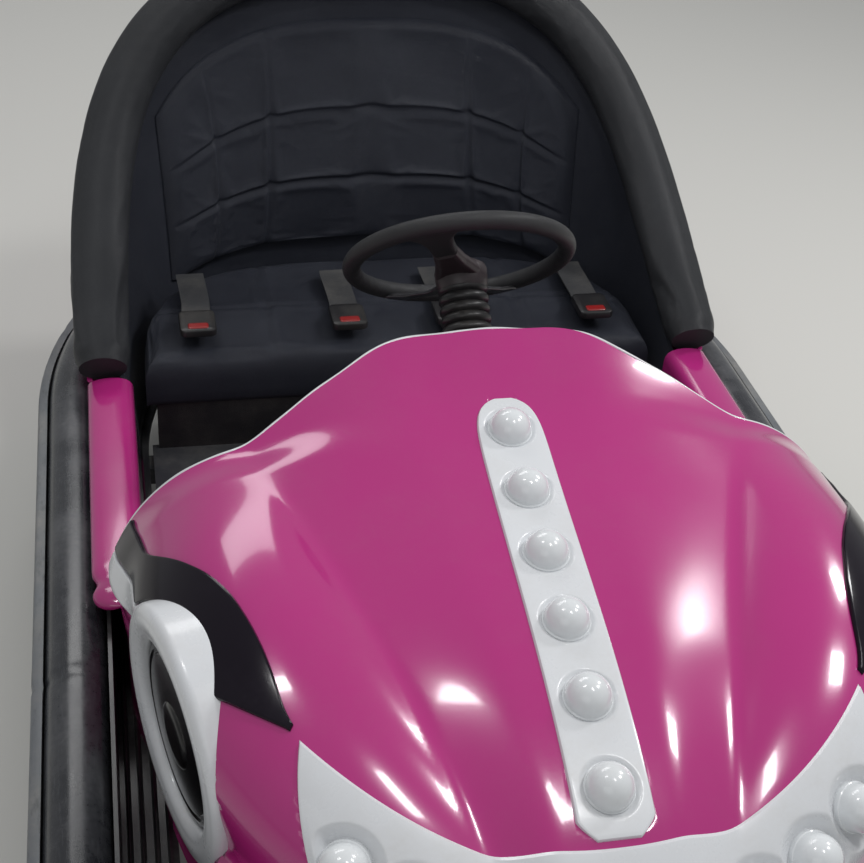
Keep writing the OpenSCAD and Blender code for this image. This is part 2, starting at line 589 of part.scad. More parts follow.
// Cross members as [position along Y, half width], each in three lengths between and outside the rails
member_list = [[230 - half_l, half_w - 275], [cowl_rear_y - 69, half_w - 113], [(cowl_rear_y + tub_front) / 2 - 20, half_w - 113],
    [tub_front, half_w - 113], [half_l - 275, half_w - 257]];
module cross_members() {
    color(steel) for (m = member_list) {
        translate([-179.9, m[0] - 18, rail_top - 30]) cube([359.8, 36, 30]);
        for (s = [0, 1]) mirror([s, 0, 0]) translate([220.1, m[0] - 18, rail_top - 30]) cube([m[1] - 220.1, 36, 30]);
    }
}
module floor_pan() {
    w = half_w - ledge_in - 2;
    color([0.2, 0.2, 0.21]) translate([-w, cowl_rear_y - 109, rail_top + 0.2])
        cube([2 * w, tub_front + 149 - cowl_rear_y, 4.6]);
}
module pedal() {
    color(steel) translate([-95, cowl_rear_y - 29, rail_top + 4.9]) {
        translate([-35, -10, 0]) cube([70, 150, 4]);
        translate([-35, -10, 3]) rotate([24, 0, 0]) cube([70, 150, 6]);
        translate([-6, 60, 3]) cube([12, 40, 28]);
    }
}
module battery() {
    color([0.15, 0.16, 0.2]) translate([-165, tub_front + 42, 72]) cube([330, 180, seat_top - 182]);
}
module battery_tray() {
    color(steel) {
        translate([-172, tub_front + 35, 66]) cube([344, 194, 6]);
        for (s = [-1, 1]) translate([s * 174 - 6, tub_front + 65, 66]) cube([12, 130, rail_low - 52]);
    }
}

module pod_hole() { pod_place() translate([0, 0, -100]) cylinder(r = trim_r + trim_round + 0.8, h = 220, $fn = 72); }
module wheel_trims() {
    color(white) pod_place() rotate_extrude($fn = 96) {
        for (k = [-1, 1]) translate([trim_r + k * (trim_round - 12), -6]) circle(r = 12, $fn = 32);
        translate([trim_r - trim_round + 12, -18]) square([2 * trim_round - 24, 24]);
        translate([trim_r + trim_round - 11, -62]) square([11, 56]);
    }
}
module wheel_caps() {
    color(black) pod_place() difference() {
        union() {
            translate([0, 0, -26]) cylinder(r = trim_r + trim_round - 11.3, h = 7.7, $fn = 96);
            translate([0, 0, -20]) cylinder(r = trim_r - trim_round - 0.4, h = 16, $fn = 96);
        }
        translate([0, 0, -40]) cylinder(r = trim_r - trim_round - 7, h = 29, $fn = 96);
    }
}
// Black panel on each wing above the wheel trim, edges as [plan angle, fraction of the way to the foot]
panel_top = [[1, 0.903], [15, 0.885], [24, 0.835], [31, 0.803], [37, 0.79], [43, 0.797], [48, 0.817], [54.3, 0.869]];
panel_foot = [[1, 0.947], [15, 0.933], [20, 0.938], [24, 0.914], [30, 0.893], [37, 0.893], [44, 0.921], [48, 0.903],
    [54.3, 0.874]];
function arch_grid(off) = [for (i = [0 : 22]) let(a = 1 + 53.3 * i / 22, r0 = lookup(a, panel_top),
    r1 = lookup(a, panel_foot)) [for (k = [0 : 2]) cowl_off(a, r0 + (r1 - r0) * k / 2, off)]];
function stripe_grid(off) = [for (i = [0 : 10]) let(a = 1 + 2.1 * i, r0 = lookup(a, panel_foot) + 0.002)
    [for (k = [0 : 2]) cowl_off(a, r0 + (0.958 - r0) * k / 2, off)]];
module arch_panels() {
    color(black) resize([0, 0, 0]) difference() {
        for (s = [0, 1]) mirror([s, 0, 0]) slab(arch_grid(5), arch_grid(2));
        pod_hole();
    }
}

chassis_rails();
cross_members();
floor_pan();
bumper_rim();
bumper_ledge();
bumper_tyre();
bumper_band();
front_cowl();
rear_shell();
side_sills();
hood_light_strip();
hood_lamps();
front_light_band();
front_lamps();
arch_panels();
wheel_trims();
wheel_caps();
cowl_edge_trim();
dash_panel();
seat_box();
seat_cushion();
seat_back();
seat_surround();
hoop_pad();
belt_straps();
belt_buckles();
column_jacket();
column_boot();
pedal();
battery();
battery_tray();
rear_axle();
turret();
steering_gear();
wheel_rim();
wheel_spokes();
steering_shaft();
drive_fork();
drive_motor();
drive_hub();
drive_tyre();
rear_hub_left();
rear_tyre_left();
rear_hub_right();
rear_tyre_right();
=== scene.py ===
import math
import bmesh
import bpy
import numpy as np
from mathutils import Matrix, Vector


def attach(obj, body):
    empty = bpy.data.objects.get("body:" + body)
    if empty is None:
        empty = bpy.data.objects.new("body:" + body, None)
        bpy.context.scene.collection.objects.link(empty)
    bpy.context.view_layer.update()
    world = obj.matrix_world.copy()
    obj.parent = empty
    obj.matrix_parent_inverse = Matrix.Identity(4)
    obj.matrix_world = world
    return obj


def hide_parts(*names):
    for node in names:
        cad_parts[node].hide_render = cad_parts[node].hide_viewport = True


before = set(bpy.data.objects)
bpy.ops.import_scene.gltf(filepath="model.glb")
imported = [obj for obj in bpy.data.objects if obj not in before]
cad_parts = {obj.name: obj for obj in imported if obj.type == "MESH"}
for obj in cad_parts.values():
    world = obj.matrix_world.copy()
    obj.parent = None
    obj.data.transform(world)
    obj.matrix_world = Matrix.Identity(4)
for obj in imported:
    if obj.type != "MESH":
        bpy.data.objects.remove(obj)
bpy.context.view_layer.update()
scene = bpy.context.scene
mm = 0.001
print("stage: frame loaded, nodes", len(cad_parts))


# Arrays, grids and meshes

def clamp01(a):
    return np.clip(a, 0.0, 1.0)


def smooth01(a):  # cubic ease from 0 to 1
    b = clamp01(a)
    return b * b * (3 - 2 * b)


def softRamp(a, w):  # 0 below zero, a above, rounded over a width w on both sides
    return np.where(a > w, a, np.where(a < -w, 0.0, (a + w) ** 2 / (4 * w)))


def quadGrid(nu, nv, closeU=False, closeV=False, start=0):  # corner numbers of a grid of nu by nv points
    iu = np.arange(nu if closeU else nu - 1)
    iv = np.arange(nv if closeV else nv - 1)
    a, b = np.meshgrid(iu, iv, indexing="ij")
    a2, b2 = (a + 1) % nu, (b + 1) % nv
    quads = np.stack([a * nv + b, a2 * nv + b, a2 * nv + b2, a * nv + b2], -1)
    return (quads.reshape(-1, 4) + start).tolist()


def slabParts(top, low):  # closed slab: top grid, reversed low grid and four side walls
    nu, nv = top.shape[:2]
    verts = np.concatenate([top.reshape(-1, 3), low.reshape(-1, 3)])
    n = nu * nv
    faces = quadGrid(nu, nv) + [q[::-1] for q in quadGrid(nu, nv, start=n)]
    grid = np.arange(n).reshape(nu, nv)
    border = np.concatenate([grid[:, 0], grid[-1, 1:], grid[-2::-1, -1], grid[0, -2:0:-1]])
    after = np.roll(border, -1)
    faces += np.stack([after, border, border + n, after + n], -1).tolist()
    return verts, faces


def sweepParts(loops, closedPath=False):  # closed sections carried along a path, flat ends
    nu, nv = loops.shape[:2]
    faces = quadGrid(nu, nv, closeU=closedPath, closeV=True)
    if not closedPath:
        faces += [list(range(nv - 1, -1, -1)), list(range((nu - 1) * nv, nu * nv))]
    return loops.reshape(-1, 3), faces


def latheParts(profile, count, closedProfile=True):  # profile of (radius, height) turned about Z
    prof = np.asarray(profile, float)
    a = np.linspace(0, 2 * np.pi, count, endpoint=False)
    pts = np.stack([np.cos(a)[:, None] * prof[:, 0], np.sin(a)[:, None] * prof[:, 0],
                    np.broadcast_to(prof[:, 1], (count, len(prof)))], -1)
    return pts.reshape(-1, 3), quadGrid(count, len(prof), closeU=True, closeV=closedProfile)


def joinParts(parts):  # several (points, faces) as one
    verts, faces, n = [], [], 0
    for v, f in parts:
        verts.append(v)
        faces += [[i + n for i in q] for q in f]
        n += len(v)
    return np.concatenate(verts), faces


def mirrorParts(part):  # the part and its mirror image in X, with the image's faces turned back
    v, f = part
    return joinParts([part, (v * [-1, 1, 1], [q[::-1] for q in f])])


def turned(points, axis, degrees):  # points turned about one axis through the origin
    c, s = math.cos(math.radians(degrees)), math.sin(math.radians(degrees))
    m = {"X": [[1, 0, 0], [0, c, -s], [0, s, c]], "Y": [[c, 0, s], [0, 1, 0], [-s, 0, c]],
         "Z": [[c, -s, 0], [s, c, 0], [0, 0, 1]]}[axis]
    return points @ np.array(m).T


def gridNormals(p):  # unit cross product of the two grid directions
    n = np.cross(np.gradient(p, axis=0), np.gradient(p, axis=1))
    return n / np.maximum(np.linalg.norm(n, axis=-1, keepdims=True), 1e-9)


def makePiece(name, part, body, material, replaces=(), sharpAngle=38, weld=0.02):  # mesh from mm
    verts, faces = part
    mesh = bpy.data.meshes.new(name)
    mesh.from_pydata((np.asarray(verts) * mm).tolist(), [], faces)
    bm = bmesh.new()
    bm.from_mesh(mesh)
    bmesh.ops.remove_doubles(bm, verts=bm.verts, dist=weld * mm)
    bmesh.ops.dissolve_degenerate(bm, edges=bm.edges, dist=1e-6)
    if bm.calc_volume(signed=True) < 0:
        bmesh.ops.reverse_faces(bm, faces=bm.faces)
    bm.to_mesh(mesh)
    bm.free()
    mesh.polygons.foreach_set("use_smooth", np.ones(len(mesh.polygons), bool))
    mesh.set_sharp_from_angle(angle=math.radians(sharpAngle))
    obj = bpy.data.objects.new(name, mesh)
    scene.collection.objects.link(obj)
    mesh.materials.append(material)
    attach(obj, body)
    if replaces:
        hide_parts(*replaces)
    return obj


# Shader groups and materials

def feed(tree, socket, value):  # a socket gets a link from another one, or a plain value
    if isinstance(value, bpy.types.NodeSocket):
        tree.links.new(value, socket)
    else:
        socket.default_value = value


def addNode(tree, kind, **settings):  # settings and inputs by name, with _ for a space in an input's name
    node = tree.nodes.new(kind)
    for key, value in settings.items():
        label = key.replace("_", " ")
        if label in node.inputs:
            feed(tree, node.inputs[label], value)
        else:
            setattr(node, key, value)
    return node


def calculated(tree, operation, *values, clamp=False):  # what a Math node makes of sockets and numbers
    node = addNode(tree, "ShaderNodeMath", operation=operation, use_clamp=clamp)
    for socket, value in zip(node.inputs, values):
        feed(tree, socket, value)
    return node.outputs[0]


def mixedColour(tree, factor, first, second):  # what a colour Mix node makes of two colours
    node = addNode(tree, "ShaderNodeMix", data_type="RGBA", Factor=factor)
    feed(tree, node.inputs[6], first)
    feed(tree, node.inputs[7], second)
    return node.outputs[2]


def newGroup(name, inputs, outputs):  # inputs by label and value, outputs by label and kind
    group = bpy.data.node_groups.new(name, "ShaderNodeTree")
    for label, value in inputs.items():
        kind = {1: "Float", 3: "Vector", 4: "Color"}[np.size(value)]
        socket = group.interface.new_socket(label, in_out="INPUT", socket_type="NodeSocket" + kind)
        socket.default_value = value
    for label, kind in outputs.items():
        group.interface.new_socket(label, in_out="OUTPUT", socket_type="NodeSocket" + kind)
    return group, group.nodes.new("NodeGroupInput").outputs, group.nodes.new("NodeGroupOutput").inputs


def makeDustGroup():  # patchy dust: noise mask, thicker on faces that look up
    group, given, result = newGroup("patchyDust", {
        "Colour": (0.5, 0.5, 0.5, 1), "Dust colour": (0.4, 0.38, 0.35, 1), "Amount": 0.3, "Scale": 9.0,
        "Roughness": 0.3}, {"Colour": "Color", "Roughness": "Float"})
    place = addNode(group, "ShaderNodeTexCoord").outputs["Object"]
    big = addNode(group, "ShaderNodeTexNoise", Vector=place, Scale=given["Scale"], Detail=6.0, Roughness=0.62)
    fine = addNode(group, "ShaderNodeTexNoise", Vector=place, Scale=160.0, Detail=3.0)
    patches = addNode(group, "ShaderNodeMapRange", Value=big.outputs["Fac"], From_Min=0.42, From_Max=0.75)
    normal = addNode(group, "ShaderNodeNewGeometry").outputs["Normal"]
    facing = addNode(group, "ShaderNodeSeparateXYZ", Vector=normal)
    up = addNode(group, "ShaderNodeMapRange", Value=facing.outputs["Z"], From_Min=-0.2, To_Min=0.35)
    mask = patches.outputs[0]
    for share in (up.outputs[0], fine.outputs["Fac"], given["Amount"]):
        mask = calculated(group, "MULTIPLY", mask, share)
    mask = calculated(group, "MULTIPLY", mask, 2.0, clamp=True)
    feed(group, result["Colour"], mixedColour(group, mask, given["Colour"], given["Dust colour"]))
    feed(group, result["Roughness"], calculated(group, "MULTIPLY_ADD", mask, 0.45, given["Roughness"]))
    return group


def makeGrainGroup():  # leather grain: cell walls over soft creases
    group, given, result = newGroup("leatherGrain", {"Scale": 700.0, "Crease": 0.5}, {"Height": "Float"})
    place = addNode(group, "ShaderNodeTexCoord").outputs["Object"]
    cells = addNode(group, "ShaderNodeTexVoronoi", feature="DISTANCE_TO_EDGE", Vector=place,
                    Scale=given["Scale"])
    wall = addNode(group, "ShaderNodeMapRange", Value=cells.outputs["Distance"], From_Max=0.16)
    creases = addNode(group, "ShaderNodeTexNoise", Vector=place, Scale=22.0, Detail=5.0, Distortion=0.6)
    folds = calculated(group, "MULTIPLY", creases.outputs["Fac"], given["Crease"])
    feed(group, result["Height"], calculated(group, "ADD", wall.outputs[0], folds))
    return group


def makeScuffAndReflectionLineGroup():  # scratches, and on the black cap painted reflection lines: noise drawn out along a direction
    group, given, result = newGroup("scuffsAndReflectionLines", {"Stretch": (1, 1, 1), "Amount": 0.3}, {"Mask": "Float"})
    place = addNode(group, "ShaderNodeTexCoord").outputs["Object"]
    stretch = addNode(group, "ShaderNodeVectorMath", operation="MULTIPLY")
    feed(group, stretch.inputs[0], place)
    feed(group, stretch.inputs[1], given["Stretch"])
    lines = addNode(group, "ShaderNodeTexNoise", Vector=stretch.outputs[0], Scale=60.0, Detail=8.0,
                    Roughness=0.7)
    cut = addNode(group, "ShaderNodeMapRange", Value=lines.outputs["Fac"], From_Min=0.52, From_Max=0.72)
    feed(group, result["Mask"], calculated(group, "MULTIPLY", cut.outputs[0], given["Amount"], clamp=True))
    return group


def makeWaveGroup():  # hand-laid moulding: long soft waves and a fine ripple
    group, given, result = newGroup("mouldWaves", {"Fine": 0.05}, {"Height": "Float"})
    place = addNode(group, "ShaderNodeTexCoord").outputs["Object"]
    long = addNode(group, "ShaderNodeTexNoise", Vector=place, Scale=5.5, Detail=1.0)
    fine = addNode(group, "ShaderNodeTexNoise", Vector=place, Scale=240.0, Detail=2.0)
    ripple = calculated(group, "MULTIPLY", fine.outputs["Fac"], given["Fine"])
    feed(group, result["Height"], calculated(group, "ADD", long.outputs["Fac"], ripple))
    return group


dustGroup = makeDustGroup()
grainGroup = makeGrainGroup()
scuffAndReflectionLineGroup = makeScuffAndReflectionLineGroup()
waveGroup = makeWaveGroup()


def srgb(hexCode):  # a hex colour as linear values
    parts = [int(hexCode[i:i + 2], 16) / 255 for i in (0, 2, 4)]
    return tuple(c / 12.92 if c <= 0.04045 else ((c + 0.055) / 1.055) ** 2.4 for c in parts) + (1.0,)


# A colour, then drift, dust, scratches (painted reflection lines on the black cap) and relief, each on top of
# the last
def makeMaterial(name, colour, roughness, dust=0.2, dustColour="8a857c", dustScale=9.0, drift=None,
                 scuffAndReflectionLines=None, waves=None, grain=None, **principled):
    material = bpy.data.materials.new(name)
    material.use_nodes = True
    tree = material.node_tree
    shader = tree.nodes["Principled BSDF"].inputs
    for key, value in principled.items():
        shader[key.replace("_", " ")].default_value = value
    base = srgb(colour)
    if drift:  # slow drift between two shades: scale of the noise and the second shade
        place = addNode(tree, "ShaderNodeTexCoord").outputs["Object"]
        noise = addNode(tree, "ShaderNodeTexNoise", Vector=place, Scale=drift[0], Detail=3.0)
        base = mixedColour(tree, noise.outputs["Fac"], base, srgb(drift[1]))
    dusty = addNode(tree, "ShaderNodeGroup", node_tree=dustGroup, Colour=base, Dust_colour=srgb(dustColour),
                    Amount=dust, Scale=dustScale, Roughness=roughness).outputs
    lastColour, lastRoughness = dusty["Colour"], dusty["Roughness"]
    if scuffAndReflectionLines:  # stretch of the scratches (painted reflection lines on the black cap), amount and colour
        scratchAndLineNode = addNode(tree, "ShaderNodeGroup", node_tree=scuffAndReflectionLineGroup, Stretch=scuffAndReflectionLines[0], Amount=scuffAndReflectionLines[1])
        wornAndReflectionLines = scratchAndLineNode.outputs["Mask"]
        lastColour = mixedColour(tree, wornAndReflectionLines, lastColour, srgb(scuffAndReflectionLines[2]))
        lastRoughness = calculated(tree, "MULTIPLY_ADD", wornAndReflectionLines, 0.3, lastRoughness)
    feed(tree, shader["Base Color"], lastColour)
    feed(tree, shader["Roughness"], lastRoughness)
    if waves:  # depth in metres and share of the fine ripple
        source = addNode(tree, "ShaderNodeGroup", node_tree=waveGroup, Fine=waves[1])
    if grain:  # depth in metres, scale and share of the creases
        source = addNode(tree, "ShaderNodeGroup", node_tree=grainGroup, Scale=grain[1], Crease=grain[2])
    if waves or grain:
        relief = addNode(tree, "ShaderNodeBump", Strength=1.0, Distance=(waves or grain)[0],
                         Height=source.outputs["Height"])
        feed(tree, shader["Normal"], relief.outputs["Normal"])
    return material


gelPink = makeMaterial("gelPink", "ba2a80", 0.18, dust=0.05, drift=(3.0, "b02777"), waves=(0.0016, 0.012),
                       Coat_Weight=0.8, Coat_Roughness=0.07, Specular_IOR_Level=0.5)
gelWhite = makeMaterial("gelWhite", "dfe1e4", 0.26, dust=0.25, dustColour="b9b4ab", waves=(0.0008, 0.03),
                        Coat_Weight=0.4, Coat_Roughness=0.12)
domeWhite = makeMaterial("domeWhite", "e3e6e8", 0.16, dust=0.12, dustColour="c5c2ba", Subsurface_Weight=0.25,
                         Subsurface_Radius=(0.012, 0.012, 0.012), Coat_Weight=0.5, Coat_Roughness=0.08)
gelBlack = makeMaterial("gelBlack", "120b16", 0.16, dust=0.06, dustColour="5a5560", waves=(0.0012, 0.015),
                        Coat_Weight=0.08, Coat_Roughness=0.06, Specular_IOR_Level=0.22)
# the cap's grey lines drawn out along the car are painted reflection lines, not scratches
capBlack = makeMaterial("capBlack", "0d0c0f", 0.2, dust=0.1, scuffAndReflectionLines=((0.6, 9.0, 3.0), 0.16, "4a464c"),
                        waves=(0.0006, 0.05), Coat_Weight=0.2, Coat_Roughness=0.15, Specular_IOR_Level=0.35)
tubeRubber = makeMaterial("tubeRubber", "2c2e33", 0.24, dust=0.5, dustColour="77777a", dustScale=7.0,
                          drift=(5.0, "1d1e22"), scuffAndReflectionLines=((6.0, 0.5, 2.0), 0.35, "57595d"),
                          waves=(0.0014, 0.06), Coat_Weight=0.35, Coat_Roughness=0.22)
bandRubber = makeMaterial("bandRubber", "74777a", 0.42, dust=0.5, dustColour="9b978f", drift=(6.0, "5f6266"),
                          scuffAndReflectionLines=((2.0, 0.6, 6.0), 0.5, "3c3e42"), waves=(0.0008, 0.1))
rimBlack = makeMaterial("rimBlack", "17181b", 0.3, dust=0.35, dustColour="6b6a68", waves=(0.001, 0.08),
                        Coat_Weight=0.3, Coat_Roughness=0.2)
hoopVinyl = makeMaterial("hoopVinyl", "191b1f", 0.42, dust=0.12, dustColour="55565a", drift=(4.0, "1f2126"),
                         grain=(0.00035, 620.0, 0.8), Sheen_Weight=0.03, Sheen_Roughness=0.5,
                         Specular_IOR_Level=0.4)
seatVinyl = makeMaterial("seatVinyl", "1b1f2b", 0.4, dust=0.14, dustColour="565a64", drift=(4.0, "191c28"),
                         grain=(0.0003, 700.0, 0.7), Sheen_Weight=0.03, Sheen_Roughness=0.5,
                         Specular_IOR_Level=0.4)
gripBlack = makeMaterial("gripBlack", "1d1d20", 0.42, dust=0.12, dustColour="5a5a5a",
                         grain=(0.00018, 900.0, 0.2))
hubPlastic = makeMaterial("hubPlastic", "2b2025", 0.36, dust=0.12, waves=(0.0004, 0.05))
spokeSteel = makeMaterial("spokeSteel", "4a4a4e", 0.3, dust=0.15, scuffAndReflectionLines=((1, 1, 1), 0.35, "8d8d90"),
                          waves=(0.0003, 0.05), Metallic=0.85)
bootRubber = makeMaterial("bootRubber", "18171a", 0.34, dust=0.15, waves=(0.0003, 0.2))
dashBlack = makeMaterial("dashBlack", "17171a", 0.6, dust=0.3, grain=(0.0003, 300.0, 0.4))
framePaint = makeMaterial("framePaint", "25262a", 0.45, dust=0.4, scuffAndReflectionLines=((1, 1, 1), 0.3, "55504a"),
                          waves=(0.0005, 0.2))
floorSheet = makeMaterial("floorSheet", "303236", 0.5, dust=0.22, scuffAndReflectionLines=((1, 3, 1), 0.3, "58585a"),
                          waves=(0.0006, 0.1))
bareSteel = makeMaterial("bareSteel", "9a9b9e", 0.34, dust=0.25, scuffAndReflectionLines=((1, 1, 8), 0.4, "6a6764"),
                         waves=(0.0002, 0.5), Metallic=1.0)
castPaint = makeMaterial("castPaint", "3c3e42", 0.55, dust=0.4, waves=(0.0006, 0.8))
motorPaint = makeMaterial("motorPaint", "1a1b1e", 0.4, dust=0.35, waves=(0.0003, 0.6))
batteryCase = makeMaterial("batteryCase", "22242b", 0.5, dust=0.4, waves=(0.0003, 0.5))
wheelTread = makeMaterial("wheelTread", "1e1e20", 0.75, dust=0.6, dustColour="6b665e", waves=(0.0005, 0.7))
hubAlloy = makeMaterial("hubAlloy", "a3a5a8", 0.36, dust=0.3, scuffAndReflectionLines=((1, 1, 1), 0.35, "77746e"),
                        waves=(0.0002, 0.4), Metallic=1.0)
beltWeb = makeMaterial("beltWeb", "1b1c20", 0.75, dust=0.2, waves=(0.0004, 1.0), Sheen_Weight=0.2)
buckleBlack = makeMaterial("buckleBlack", "1c1b1d", 0.36, dust=0.15, waves=(0.0002, 0.05))
buckleRed = makeMaterial("buckleRed", "8a1818", 0.3, dust=0.1, Coat_Weight=0.3)
print("stage: materials", len(bpy.data.materials))


# Bumper ring

ring = {"width": 1150.0, "length": 1950.0, "rearSideR": 700.0, "rearSideTurn": 60.0, "cornerR": 340.0,
        "cornerTurn": 68.0, "top": 290.0, "low": 140.0, "band": 14.0, "tube": 79.0, "rim": 5.0,
        "bandLow": 20.0, "bandHigh": 125.0, "grooveHalf": 20.0, "grooveDeep": 7.0, "foot": 10.0,
        "wallHigh": 125.0, "ledge": 70.0, "ledgeThick": 9.8, "ribs": ((11, 26), (26, 21), (42, 16), (57, 13)),
        "samples": 560, "tubeSides": 56, "crossCuts": (0.20, 0.36, 0.64, 0.80), "cutDepth": 1.6,
        "cutReach": 0.55}
halfW, halfL = ring["width"] / 2, ring["length"] / 2
sideTurn, cornerTurn = math.radians(ring["rearSideTurn"]), math.radians(ring["cornerTurn"])
rearEndR = ring["rearSideR"] - (ring["rearSideR"] - halfW) / math.cos(sideTurn)
rearEndY = (ring["rearSideR"] - halfW) * math.tan(sideTurn)
rearStart = halfL - rearEndY - rearEndR
noseR = ring["cornerR"] + (halfW - ring["cornerR"]) / math.cos(cornerTurn)
noseY = (noseR - ring["cornerR"]) * math.sin(cornerTurn)
frontStart = -halfL - noseY + noseR


def ringPath(count):  # points and outward normals of the outline, from the nose round the left side
    pieces = [(0.0, frontStart + noseY, noseR, -90.0, 90 - ring["cornerTurn"]),
              (halfW - ring["cornerR"], frontStart, ring["cornerR"], -ring["cornerTurn"], ring["cornerTurn"]),
              (None, frontStart, rearStart - frontStart, 0.0, 0.0),
              (halfW - ring["rearSideR"], rearStart, ring["rearSideR"], 0.0, ring["rearSideTurn"]),
              (0.0, rearStart + rearEndY, rearEndR, ring["rearSideTurn"], 90 - ring["rearSideTurn"])]
    lengths = [p[2] if p[0] is None else p[2] * math.radians(p[4]) for p in pieces]
    ends = np.cumsum(lengths)
    s = np.linspace(0, ends[-1], count)
    k = np.minimum(np.searchsorted(ends, s), 4)
    centre = np.array([[halfW if p[0] is None else p[0], p[1]] for p in pieces])[k]
    radius = np.array([0.0 if p[0] is None else p[2] for p in pieces])[k]
    before = s - (ends - lengths)[k]
    straight = k == 2
    angle = np.radians(np.array([p[3] for p in pieces])[k] + np.where(
        straight, 0.0, np.degrees(before / np.where(straight, 1.0, radius))))
    normal = np.stack([np.cos(angle), np.sin(angle)], -1)
    point = centre + radius[:, None] * normal + np.where(straight, before, 0.0)[:, None] * [0, 1]
    whole = np.concatenate([point, point[-2:0:-1] * [-1, 1]])
    return whole, np.concatenate([normal, normal[-2:0:-1] * [-1, 1]])


def ringSweep(section, squeeze=0.0, middle=(0, 0)):  # carries (depth inward, height) round the outline
    point, normal = ringPath(ring["samples"] // 2 + 1)
    n = len(point)
    place = np.arange(n) / n
    near = np.min(np.abs(place[:, None] - np.array(ring["crossCuts"])), axis=1) * n
    shrink = squeeze * np.exp(-(near / ring["cutReach"]) ** 2)
    sec = np.asarray(section, float)
    arm = sec - np.array(middle)
    size = np.linalg.norm(arm, axis=1)
    secs = np.array(middle) + arm[None] * (1 - shrink[:, None, None] / np.maximum(size, 1e-6)[None, :, None])
    xy = point[:, None] - normal[:, None] * secs[:, :, :1]
    return sweepParts(np.concatenate([xy, secs[:, :, 1:]], -1), closedPath=True)


def tubeSection():  # upright oval: a circle whose upper and lower halves are moved apart
    a = np.linspace(0, 2 * np.pi, ring["tubeSides"], endpoint=False)
    r = ring["tube"] / 2
    rise = (ring["top"] - ring["low"]) / 2 - r
    z = r * np.sin(a) + rise * np.tanh(np.sin(a) * 4)
    return np.stack([ring["band"] + r - r * np.cos(a), (ring["top"] + ring["low"]) / 2 + z], -1)


def bandSection():  # pale outer band: two rounded lips with a dark groove between them
    d, deep, z = ring["band"], ring["grooveDeep"], ring["low"] + ring["bandLow"]
    middle = ring["low"] + (ring["bandLow"] + ring["bandHigh"]) / 2
    edge = middle - ring["grooveHalf"]
    lower = [(d, z), (4, z), (1.2, z + 2), (0, z + 6), (0, edge - 6), (1.5, edge - 2), (deep, edge)]
    return lower + [(depth, 2 * middle - height) for depth, height in lower[::-1]]


def rimSection():  # wall behind the tube and a ribbed ledge towards the body
    d, low = ring["band"] + ring["tube"], ring["low"] + ring["foot"]
    wall, ledge = low + ring["wallHigh"], low + ring["ledgeThick"]
    top = [(d, low), (d, wall), (d + ring["rim"], wall), (d + ring["rim"], low + 10)]
    for rib, height in ring["ribs"]:
        top += [(d + rib, ledge), (d + rib + 1, low + height - 2), (d + rib + 3, low + height),
                (d + rib + 5, low + height - 2), (d + rib + 7, ledge)]
    return top + [(d + ring["ledge"], ledge), (d + ring["ledge"], low)]


tubeMiddle = (ring["band"] + ring["tube"] / 2, (ring["top"] + ring["low"]) / 2)
makePiece("bumperTube", ringSweep(tubeSection(), ring["cutDepth"], tubeMiddle), "chassis",
          tubeRubber, ["bumper_tyre"], sharpAngle=60)
makePiece("bumperBand", ringSweep(bandSection(), ring["cutDepth"], tubeMiddle), "chassis",
          bandRubber, ["bumper_band"])
makePiece("bumperRim", ringSweep(rimSection()), "chassis", rimBlack,
          ["bumper_rim", "bumper_ledge"])
print("stage: bumper ring")


# Front cowl

cowl = {"half": 474.0, "length": 640.0, "rearY": -221.0, "low": 160.0, "high": 630.0, "wall": 8.0,
        "fall": (0.4596, -0.0008638, 0.0000009105), "creaseX": 299.0, "creaseLean": 0.322, "flatX": 109.0,
        "flatLean": 0.08, "creaseDrop": 20.0, "rearDrop": 11.0, "valley": 9.0, "wingHump": 26.0,
        "power": 2.25, "dashReach": 91.0, "dashFade": 260.0, "sideTuck": 36.0, "underStripe": 16.0,
        "underBand": 18.0, "underStrip": 7.0, "flatShare": 0.7, "turns": 280, "flatRows": 60, "wallRows": 92}
lip = {"z": 314.0, "thick": 15.5, "ends": 6.0, "middle": 32.0, "spread": 50.0}


def spineHeight(y):  # height of the middle line: a cubic fall from the bonnet's rear edge
    s = cowl["rearY"] + cowl["dashReach"] - y
    first, second, third = cowl["fall"]
    return cowl["high"] - first * s - second * s ** 2 - third * s ** 3


def crownHeight(x, y):  # the mould's height, rounded along the valleys by averaging across them
    steps = (-1, -0.6, -0.25, 0, 0.25, 0.6, 1)
    return np.mean([sharpCrown(x + d * cowl["valley"], y) for d in steps], axis=0)


def sharpCrown(x, y):  # flat middle, slope down to the crease, then the wing's hump
    a = np.abs(x)
    behind = y - cowl["rearY"]
    crease = cowl["creaseX"] + cowl["creaseLean"] * behind
    flat = cowl["flatX"] + cowl["flatLean"] * behind
    drop = cowl["creaseDrop"] + cowl["rearDrop"] * smooth01((behind + 60) / 60)
    hump = 4 + cowl["wingHump"] * np.sin(np.pi * clamp01(-behind / cowl["length"]))
    u = np.minimum((a - flat) / (crease - flat), 1)
    inner = drop * (1 - smooth01(u) * 0.35 - softRamp(u, 0.1) * 0.65)
    past = np.sqrt(np.maximum(a - crease, 0) ** 2 + 25) - 5
    outer = hump * np.sin(np.pi * clamp01(past / (cowl["half"] - crease + 20)) ** 0.75)
    return spineHeight(y) - drop + np.where(a < crease, np.maximum(inner, 0), outer)


def dashBack(x):  # rear edge of the bonnet: its middle reaches back, with soft corners and a hand-cut wave
    u = (cowl["creaseX"] - np.abs(x)) / (cowl["creaseX"] - cowl["flatX"])
    reach = softRamp(u, 0.12) - softRamp(u - 1, 0.24)
    wave = 1.6 * np.sin(x / 41 + 0.6) + 1.1 * np.sin(x / 19 + 2)
    return cowl["dashReach"] * reach + wave * smooth01((260 - np.abs(x)) / 60)


def fallPower(q):  # how squarely the skin falls: softly at the sides (q = 0), hard at the nose (q = 1)
    return 3.5 + 8.5 * q


